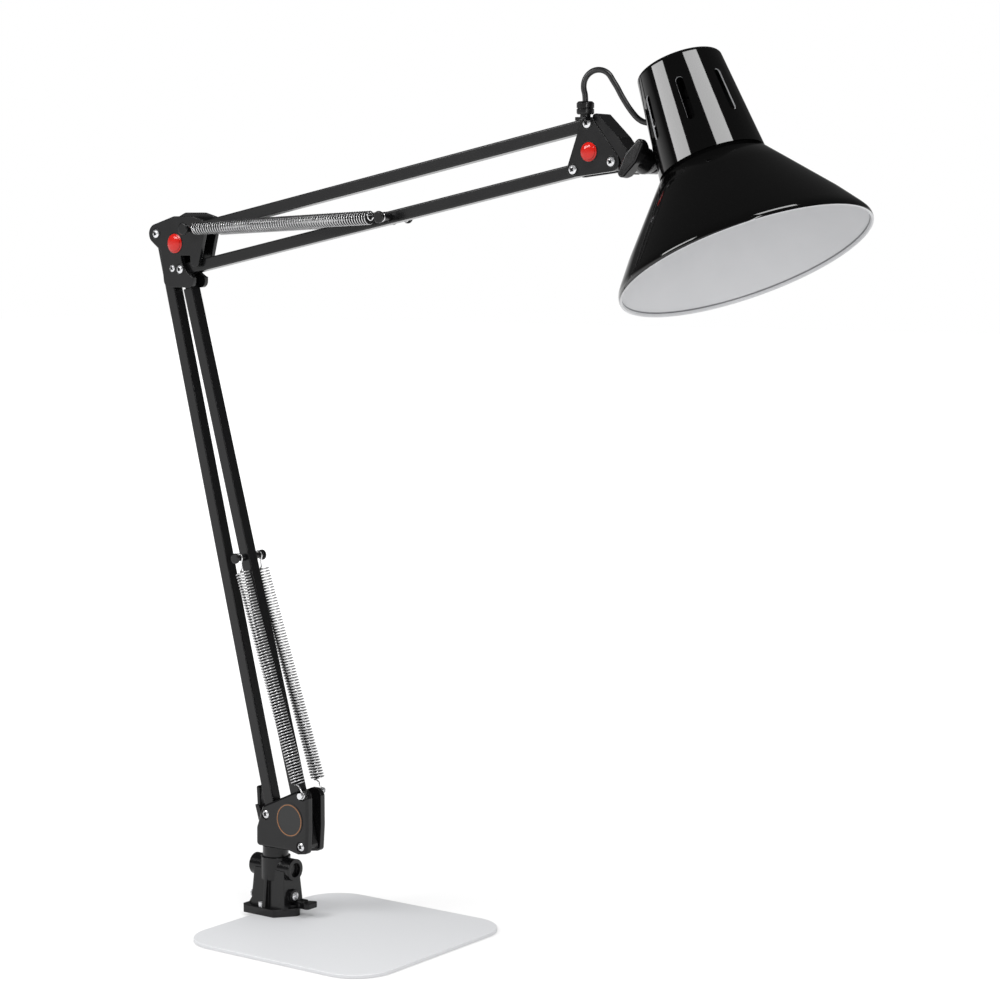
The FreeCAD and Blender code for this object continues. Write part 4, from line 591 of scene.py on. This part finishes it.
def mark_crests(mesh, start, span, coil_radius, wire):
    """Marks every vertex of a spring with how far it stands out from the coil's inside, 0 to 1, for painted shade
    inside the coil.
    """
    mark = mesh.attributes.new("crest", "FLOAT", "POINT")
    along = Vector((span.x, 0.0, span.z)).normalized()
    for vertex in mesh.vertices:
        offset = vertex.co - start
        away = (offset - along * offset.dot(along)).length
        outside = (away - coil_radius) / wire + 0.42
        place = offset.dot(along) / span.length
        hook = place < 0.05 or place > 0.95
        mark.data[vertex.index].value = 0.9 if hook else min(1.0, max(0.0, outside)) ** 2.5


class LAMP_OT_springs(bpy.types.Operator):
    """Adds the four balance springs with all their turns"""
    bl_idname = "desk_lamp.springs"
    bl_label = "Balance Springs"

    def execute(self, context):
        settings = context.scene.desk_lamp
        lower_peg, stud = centre("lower_spring_peg"), centre("lower_spring_studs")
        rear_peg, front_peg = centre("upper_spring_rear_peg"), centre("upper_spring_front_peg")
        plans = [
            ("lower", lower_peg, stud, 0.00505, settings.lower_turns, (0.0033, 0.0024), (0.0105, 0.009),
             settings.lower_wire, "front_lower_arm", "lower_bracket", (0.5, 1.0)),
            ("upper", rear_peg, front_peg, 0.0047, settings.upper_turns, (0.00325, 0.00325),
             (0.009, 0.009), settings.upper_wire, "elbow", "upper_bottom_arm", (0.0, 0.55)),
        ]
        for (word, start, end, radius, turns, hooks, leads, wire, first_body, last_body,
             stays) in plans:
            for side in ("near", "far"):
                node = "%s_spring_%s" % (word, side)
                middle = centre(node).y
                points = wire_line(Vector((start.x, middle, start.z)), Vector((end.x, middle, end.z)),
                                   radius, turns, hooks, leads)
                mesh = bpy.data.meshes.new(node + "_wire")
                mesh.from_pydata(points, [(n, n + 1) for n in range(len(points) - 1)], [])
                piece = new_object(node + "_wire", mesh)
                run_tree(piece, wire_tree(), {
                    "Wire Radius": wire / 2, "Sides": 7, "Finish": finish("spring_zinc")})
                settle(piece, finish("spring_zinc"))
                mark_crests(piece.data, Vector((start.x, middle, start.z)), end - start, radius, wire)
                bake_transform(piece)
                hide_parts(node)
        return {"FINISHED"}


class LAMP_OT_base(bpy.types.Operator):
    """Finishes the plate, the sheet under it and the pedestal with its screws"""
    bl_idname = "desk_lamp.base"
    bl_label = "Base and Pedestal"

    def execute(self, context):
        dress(finish("powder_coated_steel"), "base_plate")
        dress(finish("foam_sheet"), "base_pad")
        dress(finish("moulded_nylon"), "pedestal", "pedestal_thumb_screw")
        dress(finish("bright_zinc"), "pedestal_fixings", "pedestal_side_screws")
        return {"FINISHED"}


class LAMP_OT_lower_bracket(bpy.types.Operator):
    """Finishes the swivelling casing, its post, badge, bolts and outlet sleeve"""
    bl_idname = "desk_lamp.lower_bracket"
    bl_label = "Lower Bracket"

    def execute(self, context):
        dress(finish("moulded_nylon"), "pivot_post", "casing_near_shell", "casing_far_shell",
              "cord_outlet_sleeve")
        dress(finish("badge_disc"), "casing_medallion")
        dress(finish("bright_zinc"), "casing_bolts", "casing_nuts", "lower_spring_studs")
        return {"FINISHED"}


class LAMP_OT_arms(bpy.types.Operator):
    """Finishes the four bars and the pegs of the springs"""
    bl_idname = "desk_lamp.arms"
    bl_label = "Arms"

    def execute(self, context):
        dress(finish("lacquered_tube"), "rear_lower_bar", "front_lower_bar", "upper_top_bar",
              "upper_bottom_bar", "lower_spring_peg", "upper_spring_rear_peg", "upper_spring_front_peg")
        return {"FINISHED"}


class LAMP_OT_brackets(bpy.types.Operator):
    """Finishes the elbow and the head bracket: plates, spacers, caps, bolts and nuts"""
    bl_idname = "desk_lamp.brackets"
    bl_label = "Elbow and Head Bracket"

    def execute(self, context):
        dress(finish("moulded_nylon"), "elbow_near_plate", "elbow_far_plate", "elbow_spacer",
              "head_near_plate", "head_far_plate", "head_spacer", "head_block", "cord_gland")
        dress(finish("red_styrene"), "elbow_caps", "head_caps")
        dress(finish("bright_zinc"), "elbow_bolts", "elbow_nuts", "elbow_plate_screw", "head_bolts",
              "head_nuts")
        return {"FINISHED"}


def ring_tree():
    """A tree that sets a rounded rim, turned toward the near side, on every vertex."""
    tree, inputs = tree_with("raised_rims", [
        ("Rim Radius", "NodeSocketFloat", 0.004), ("Rim Thickness", "NodeSocketFloat", 0.0005),
        ("Finish", "NodeSocketMaterial", None)])
    around = add(tree, "GeometryNodeCurvePrimitiveCircle", {
        "Resolution": 40, "Radius": (inputs, "Rim Radius")})
    bead = add(tree, "GeometryNodeCurvePrimitiveCircle", {
        "Resolution": 8, "Radius": (inputs, "Rim Thickness")})
    rim = add(tree, "GeometryNodeCurveToMesh", {"Curve": (around, "Curve"), "Profile Curve": (bead, "Curve")})
    upright = add(tree, "GeometryNodeTransform", {
        "Geometry": (rim, "Mesh"), "Rotation": (math.pi / 2, 0.0, 0.0)})
    spread = add(tree, "GeometryNodeInstanceOnPoints", {
        "Points": (inputs, "Geometry"), "Instance": (upright, "Geometry")})
    whole = add(tree, "GeometryNodeRealizeInstances", {"Geometry": (spread, "Instances")})
    smooth = add(tree, "GeometryNodeSetShadeSmooth", {"Geometry": (whole, "Geometry")})
    coloured = add(tree, "GeometryNodeSetMaterial", {
        "Geometry": (smooth, "Geometry"), "Material": (inputs, "Finish")})
    add(tree, "NodeGroupOutput", {"Geometry": (coloured, "Geometry")})
    return tree


class LAMP_OT_rims(bpy.types.Operator):
    """Adds the raised rims round the bolts and caps on the near and far plates"""
    bl_idname = "desk_lamp.rims"
    bl_label = "Raised Rims"

    def execute(self, context):
        tree = ring_tree()
        plans = [("elbow", "elbow", "elbow_near_plate", "elbow_far_plate"),
                 ("head", "head_bracket", "head_near_plate", "head_far_plate")]
        for word, body, near, far in plans:
            faces = (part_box(far)[1].y, -abs(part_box(far)[1].y))
            places = {"bolt": [], "cap": []}
            for low, high in lumps(word + "_bolts"):
                places["bolt"].append((low + high) / 2)
            for low, high in lumps(word + "_caps")[:1]:
                places["cap"].append((low + high) / 2)
            for kind, radius in (("bolt", 0.0041), ("cap", 0.0078 if word == "elbow" else 0.0069)):
                mesh = bpy.data.meshes.new("%s_%s_rims" % (word, kind))
                mesh.from_pydata([(p.x, y, p.z) for p in places[kind] for y in faces], [], [])
                piece = new_object("%s_%s_rims" % (word, kind), mesh)
                run_tree(piece, tree, {"Rim Radius": radius, "Rim Thickness": 0.00035,
                                       "Finish": finish("moulded_nylon")})
                settle(piece, finish("moulded_nylon"))
                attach(piece, body)
        return {"FINISHED"}


def cross_tree():
    """A tree that sets a dark cross, painted shade for a screw's recess, on every vertex."""
    tree, inputs = tree_with("screw_crosses", [
        ("Cross Width", "NodeSocketFloat", 0.0034), ("Blade", "NodeSocketFloat", 0.0008),
        ("Finish", "NodeSocketMaterial", None)])
    size = add(tree, "ShaderNodeCombineXYZ", {
        "X": (inputs, "Cross Width"), "Y": (inputs, "Blade"), "Z": (inputs, "Blade")})
    bar = add(tree, "GeometryNodeMeshCube", {"Size": (size, "Vector")})
    upright = add(tree, "GeometryNodeTransform", {
        "Geometry": (bar, "Mesh"), "Rotation": (0.0, math.pi / 2, 0.0)})
    cross = add(tree, "GeometryNodeJoinGeometry")
    tree.links.new(bar.outputs["Mesh"], cross.inputs["Geometry"])
    tree.links.new(upright.outputs["Geometry"], cross.inputs["Geometry"])
    turned = add(tree, "GeometryNodeTransform", {
        "Geometry": (cross, "Geometry"), "Rotation": (0.0, 0.6, 0.0)})
    spread = add(tree, "GeometryNodeInstanceOnPoints", {
        "Points": (inputs, "Geometry"), "Instance": (turned, "Geometry")})
    whole = add(tree, "GeometryNodeRealizeInstances", {"Geometry": (spread, "Instances")})
    coloured = add(tree, "GeometryNodeSetMaterial", {
        "Geometry": (whole, "Geometry"), "Material": (inputs, "Finish")})
    add(tree, "NodeGroupOutput", {"Geometry": (coloured, "Geometry")})
    return tree


def dome_tree():
    """A tree that sets a low dome, turned to the near and far sides, on every vertex."""
    tree, inputs = tree_with("cap_domes", [
        ("Dome Radius", "NodeSocketFloat", 0.006), ("Rise", "NodeSocketFloat", 0.0012),
        ("Finish", "NodeSocketMaterial", None)])
    ball = add(tree, "GeometryNodeMeshUVSphere", {"Segments": 48, "Rings": 24, "Radius": 1.0})
    scale = add(tree, "ShaderNodeCombineXYZ", {
        "X": (inputs, "Dome Radius"), "Y": (inputs, "Rise"), "Z": (inputs, "Dome Radius")})
    lens = add(tree, "GeometryNodeTransform", {"Geometry": (ball, "Mesh"), "Scale": (scale, "Vector")})
    spread = add(tree, "GeometryNodeInstanceOnPoints", {
        "Points": (inputs, "Geometry"), "Instance": (lens, "Geometry")})
    whole = add(tree, "GeometryNodeRealizeInstances", {"Geometry": (spread, "Instances")})
    smooth = add(tree, "GeometryNodeSetShadeSmooth", {"Geometry": (whole, "Geometry")})
    coloured = add(tree, "GeometryNodeSetMaterial", {
        "Geometry": (smooth, "Geometry"), "Material": (inputs, "Finish")})
    add(tree, "NodeGroupOutput", {"Geometry": (coloured, "Geometry")})
    return tree


class LAMP_OT_details(bpy.types.Operator):
    """Adds dark crosses of painted shade in the screw heads and the domes on the red caps"""
    bl_idname = "desk_lamp.details"
    bl_label = "Screw Crosses and Cap Domes"

    def execute(self, context):
        crosses, domes = cross_tree(), dome_tree()
        cross_size = {"Cross Width": 0.0034, "Blade": 0.0008}
        plans = [
            # The crosses are black pieces that stand for the shade in the screws' recesses.
            ("elbow_crosses", "elbow", ["elbow_bolts", "elbow_plate_screw"], crosses, 0.3,
             cross_size, "moulded_nylon", "black_moulding"),
            ("head_crosses", "head_bracket", ["head_bolts"], crosses, 0.3,
             cross_size, "moulded_nylon", "black_moulding"),
            ("casing_crosses", "lower_bracket", ["casing_bolts"], crosses, 0.3,
             cross_size, "moulded_nylon", "black_moulding"),
            ("elbow_domes", "elbow", ["elbow_caps"], domes, 0.1,
             {"Dome Radius": 0.0064, "Rise": 0.0013}, "red_styrene", "red_plastic"),
            ("head_domes", "head_bracket", ["head_caps"], domes, 0.1,
             {"Dome Radius": 0.0056, "Rise": 0.0012}, "red_styrene", "red_plastic"),
        ]
        for name, body, nodes, tree, depth, values, colour, slot in plans:
            places = []
            for node in nodes:
                for low, high in lumps(node):
                    middle = (low + high) / 2
                    near = tree is crosses or middle.y < 0
                    y = low.y + depth * MM if near else high.y - depth * MM
                    places.append((middle.x, y, middle.z))
            mesh = bpy.data.meshes.new(name)
            mesh.from_pydata(places, [], [])
            piece = new_object(name, mesh)
            run_tree(piece, tree, {**values, "Finish": finish(colour)})
            settle(piece, finish(colour))
            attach(piece, body)
        return {"FINISHED"}


class LAMP_OT_head(bpy.types.Operator):
    """Finishes the swivel, the tilt bolt and its wing knob"""
    bl_idname = "desk_lamp.head"
    bl_label = "Head Joint"

    def execute(self, context):
        dress(finish("moulded_nylon"), "head_knuckle", "head_wing_knob")
        dress(finish("bright_zinc"), "head_tilt_bolt")
        return {"FINISHED"}


class LAMP_OT_shade(bpy.types.Operator):
    """Finishes the shade, its strap and rivets, and the lamp holder"""
    bl_idname = "desk_lamp.shade"
    bl_label = "Shade"

    def execute(self, context):
        dress(finish("neck_enamel"), "shade_neck")
        dress(finish("pressed_steel"), "shade_tongue")
        dress(finish("bright_zinc"), "tongue_rivets")
        dress(finish("moulded_nylon"), "lamp_holder")
        return {"FINISHED"}


def spun(name, outline, around, finishes):
    """A closed ring round the shade's axis; the outline is (radius, height above the rim, finish)."""
    socket = next(m for m in frame["record"]["mounts"] if m["name"] == "lamp_socket")
    down = Vector(socket["axis"]).normalized()
    rim = Vector(socket["pos_m"]) + down * HOLDER_TO_RIM
    first = down.cross(Vector((0, 1, 0))).normalized()
    second = down.cross(first)
    points, faces = [], []
    count = len(outline)
    for step in range(around):
        turn = math.tau * step / around
        out = first * math.cos(turn) + second * math.sin(turn)
        points.extend(rim + out * radius * MM - down * height * MM for radius, height, _ in outline)
    for step in range(around):
        here, there = step * count, (step + 1) % around * count
        for number in range(count):
            following = (number + 1) % count
            faces.append((here + number, there + number, there + following, here + following))
    mesh = bpy.data.meshes.new(name)
    mesh.from_pydata(points, [], faces)
    for material in finishes:
        mesh.materials.append(material)
    rise = mesh.attributes.new("rise", "FLOAT", "POINT")
    for index in range(len(points)):
        rise.data[index].value = outline[index % count][1] * MM
    for index, face in enumerate(mesh.polygons):
        face.material_index = outline[index % count][2]
        face.use_smooth = True
    shape = bmesh.new()
    shape.from_mesh(mesh)
    bmesh.ops.recalc_face_normals(shape, faces=shape.faces)
    for edge in shape.edges:
        edge.smooth = edge.calc_face_angle(0.0) < math.radians(32)
    shape.to_mesh(mesh)
    shape.free()
    return new_object(name, mesh)


class LAMP_OT_spun_cone(bpy.types.Operator):
    """Adds the spun cone: black outside, white inside, with a straight lip and a rolled edge"""
    bl_idname = "desk_lamp.spun_cone"
    bl_label = "Spun Cone"

    def execute(self, context):
        lip = context.scene.desk_lamp.lip_height / MM
        outline = [
            (36.0, 71.35, 0), (48.7, 55.3, 0), (61.4, 39.2, 0), (74.1, 23.1, 0), (84.6, lip + 4.6, 0),
            (86.4, lip + 1.7, 0), (87.1, lip, 0), (87.3, lip - 1.2, 0), (87.3, 1.2, 0), (87.0, 0.5, 1),
            (86.2, 0.1, 1), (85.5, 0.5, 1), (85.2, 1.2, 1), (85.2, lip - 1.0, 1), (84.7, lip + 0.4, 1),
            (83.0, lip + 3.2, 1), (72.5, 22.3, 1), (59.8, 38.4, 1), (47.1, 54.5, 1), (34.6, 70.3, 1),
            (34.2, 71.6, 0), (33.8, 79.6, 0), (34.7, 79.6, 0), (35.4, 71.6, 0),
        ]
        piece = spun("shade_spun_cone", outline, 256, [finish("gloss_enamel"), finish("white_enamel")])
        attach(piece, "shade")
        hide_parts("shade_cone")
        return {"FINISHED"}


class LAMP_OT_stage(bpy.types.Operator):
    """Adds the pale floor, the soft boxes and the white surroundings"""
    bl_idname = "desk_lamp.stage"
    bl_label = "Stage"

    def execute(self, context):
        self.floor()
        self.surroundings(context)
        target = Vector((0.30, 0.0, 0.55))
        boxes = [
            ("front_box", (-0.54, -0.74, 0.39), (0.46, -0.21, 0.26), 0.90, 0.36, 11.0),
            ("right_box", (0.51, -0.23, 0.82), (0.18, 0.52, 0.01), 0.90, 0.42, 11.0),
            ("edge_strip", (0.76, -0.64, 0.09), (0.0, 0.0, 1.0), 0.90, 0.10, 14.0),
        ]
        for name, way, along, width, height, brightness in boxes:
            self.soft_box(name, target, Vector(way), Vector(along), width, height, brightness)
        return {"FINISHED"}

    def floor(self):
        """Pale floor that keeps the lamp's soft shadow and looks white to the camera."""
        mesh = bpy.data.meshes.new("floor")
        reach = 12.0
        mesh.from_pydata([(-reach, -reach, 0), (reach, -reach, 0), (reach, reach, 0), (-reach, reach, 0)],
                         [], [(0, 1, 2, 3)])
        material = bpy.data.materials.new("pale_floor")
        material.use_nodes = True
        tree = material.node_tree
        tree.nodes.clear()
        path = add(tree, "ShaderNodeLightPath")
        seen = add(tree, "ShaderNodeMath", {0: (path, "Is Camera Ray"), 1: (path, "Is Glossy Ray")},
                   operation="ADD")
        seen = add(tree, "ShaderNodeMath", {0: (seen, "Value"), 1: (path, "Is Transmission Ray")},
                   operation="ADD", use_clamp=True)
        place = add(tree, "ShaderNodeTexCoord")
        away = add(tree, "ShaderNodeVectorMath", {0: (place, "Object")}, operation="LENGTH")
        glow_level = add(tree, "ShaderNodeMapRange", {
            "Value": (away, "Value"), "From Min": 0.3, "From Max": 1.4, "To Min": 0.5, "To Max": 0.9})
        lift = add(tree, "ShaderNodeMath", {0: (seen, "Value"), 1: (glow_level, "Result")},
                   operation="MULTIPLY")
        matt = add(tree, "ShaderNodeBsdfDiffuse", {"Color": (0.5, 0.5, 0.5, 1.0)})
        glow = add(tree, "ShaderNodeEmission", {"Color": (1.0, 1.0, 1.0, 1.0), "Strength": (lift, "Value")})
        both = add(tree, "ShaderNodeAddShader", {0: (matt, "BSDF"), 1: (glow, "Emission")})
        add(tree, "ShaderNodeOutputMaterial", {"Surface": (both, "Shader")})
        mesh.materials.append(material)
        new_object("floor", mesh)

    def surroundings(self, context):
        """White all round for the camera, with a darker ceiling in what the gloss shows."""
        world = bpy.data.worlds.new("studio")
        world.use_nodes = True
        tree = world.node_tree
        tree.nodes.clear()
        path = add(tree, "ShaderNodeLightPath")
        place = add(tree, "ShaderNodeTexCoord")
        split = add(tree, "ShaderNodeSeparateXYZ", {"Vector": (place, "Generated")})
        height = add(tree, "ShaderNodeMapRange", {
            "Value": (split, "Z"), "From Min": -0.02, "From Max": 0.16, "To Min": 1.0, "To Max": 0.07})
        mirrored = add(tree, "ShaderNodeMath", {0: (path, "Is Glossy Ray"), 1: (path, "Is Transmission Ray")},
                       operation="MAXIMUM")
        fill = add(tree, "ShaderNodeMix", {
            "Factor": (mirrored, "Value"), "A": 0.78, "B": (height, "Result")}, data_type="FLOAT")
        level = add(tree, "ShaderNodeMix", {
            "Factor": (path, "Is Camera Ray"), "A": (fill, "Result"), "B": 1.0}, data_type="FLOAT")
        light = add(tree, "ShaderNodeBackground", {
            "Color": (1.0, 1.0, 1.0, 1.0), "Strength": (level, "Result")})
        add(tree, "ShaderNodeOutputWorld", {"Surface": (light, "Background")})
        context.scene.world = world
        context.scene.view_settings.view_transform = "Standard"

    def soft_box(self, name, target, way, along, width, height, brightness):
        """A rectangular soft box 1.6 m away that way, with its long side set along a direction."""
        distance = 1.6
        way.normalize()
        across = (along - way * along.dot(way)).normalized()
        lamp = bpy.data.lights.new(name, "AREA")
        lamp.shape = "RECTANGLE"
        lamp.size, lamp.size_y = width, height
        lamp.energy = brightness * math.pi * width * height
        holder = new_object(name, lamp)
        turn = Matrix((across, way.cross(across), way)).transposed().to_4x4()
        holder.matrix_world = Matrix.Translation(target + way * distance) @ turn


STEPS = [LAMP_OT_camera, LAMP_OT_head_cord, LAMP_OT_springs, LAMP_OT_base, LAMP_OT_lower_bracket,
         LAMP_OT_arms, LAMP_OT_brackets, LAMP_OT_rims, LAMP_OT_details, LAMP_OT_head,
         LAMP_OT_shade, LAMP_OT_spun_cone, LAMP_OT_stage]


class LAMP_PT_sidebar(bpy.types.Panel):
    """Lists the lamp's sizes, colours and steps"""
    bl_idname = "LAMP_PT_sidebar"
    bl_label = "Desk Lamp"
    bl_space_type = "VIEW_3D"
    bl_region_type = "UI"
    bl_category = "Desk Lamp"

    def draw(self, context):
        for name in LampSettings.__annotations__:
            self.layout.prop(context.scene.desk_lamp, name)
        for step in STEPS:
            self.layout.operator(step.bl_idname)


def register():
    for kind in (LampSettings, *STEPS, LAMP_PT_sidebar):
        bpy.utils.register_class(kind)
    bpy.types.Scene.desk_lamp = bpy.props.PointerProperty(type=LampSettings)


def unregister():
    del bpy.types.Scene.desk_lamp
    for kind in (LAMP_PT_sidebar, *reversed(STEPS), LampSettings):
        bpy.utils.unregister_class(kind)


def main():
    register()
    for step in STEPS:
        group, name = step.bl_idname.split(".")
        if getattr(getattr(bpy.ops, group), name)() != {"FINISHED"}:
            raise RuntimeError("%s did not finish" % step.bl_idname)


if __name__ == "__main__":
    main()
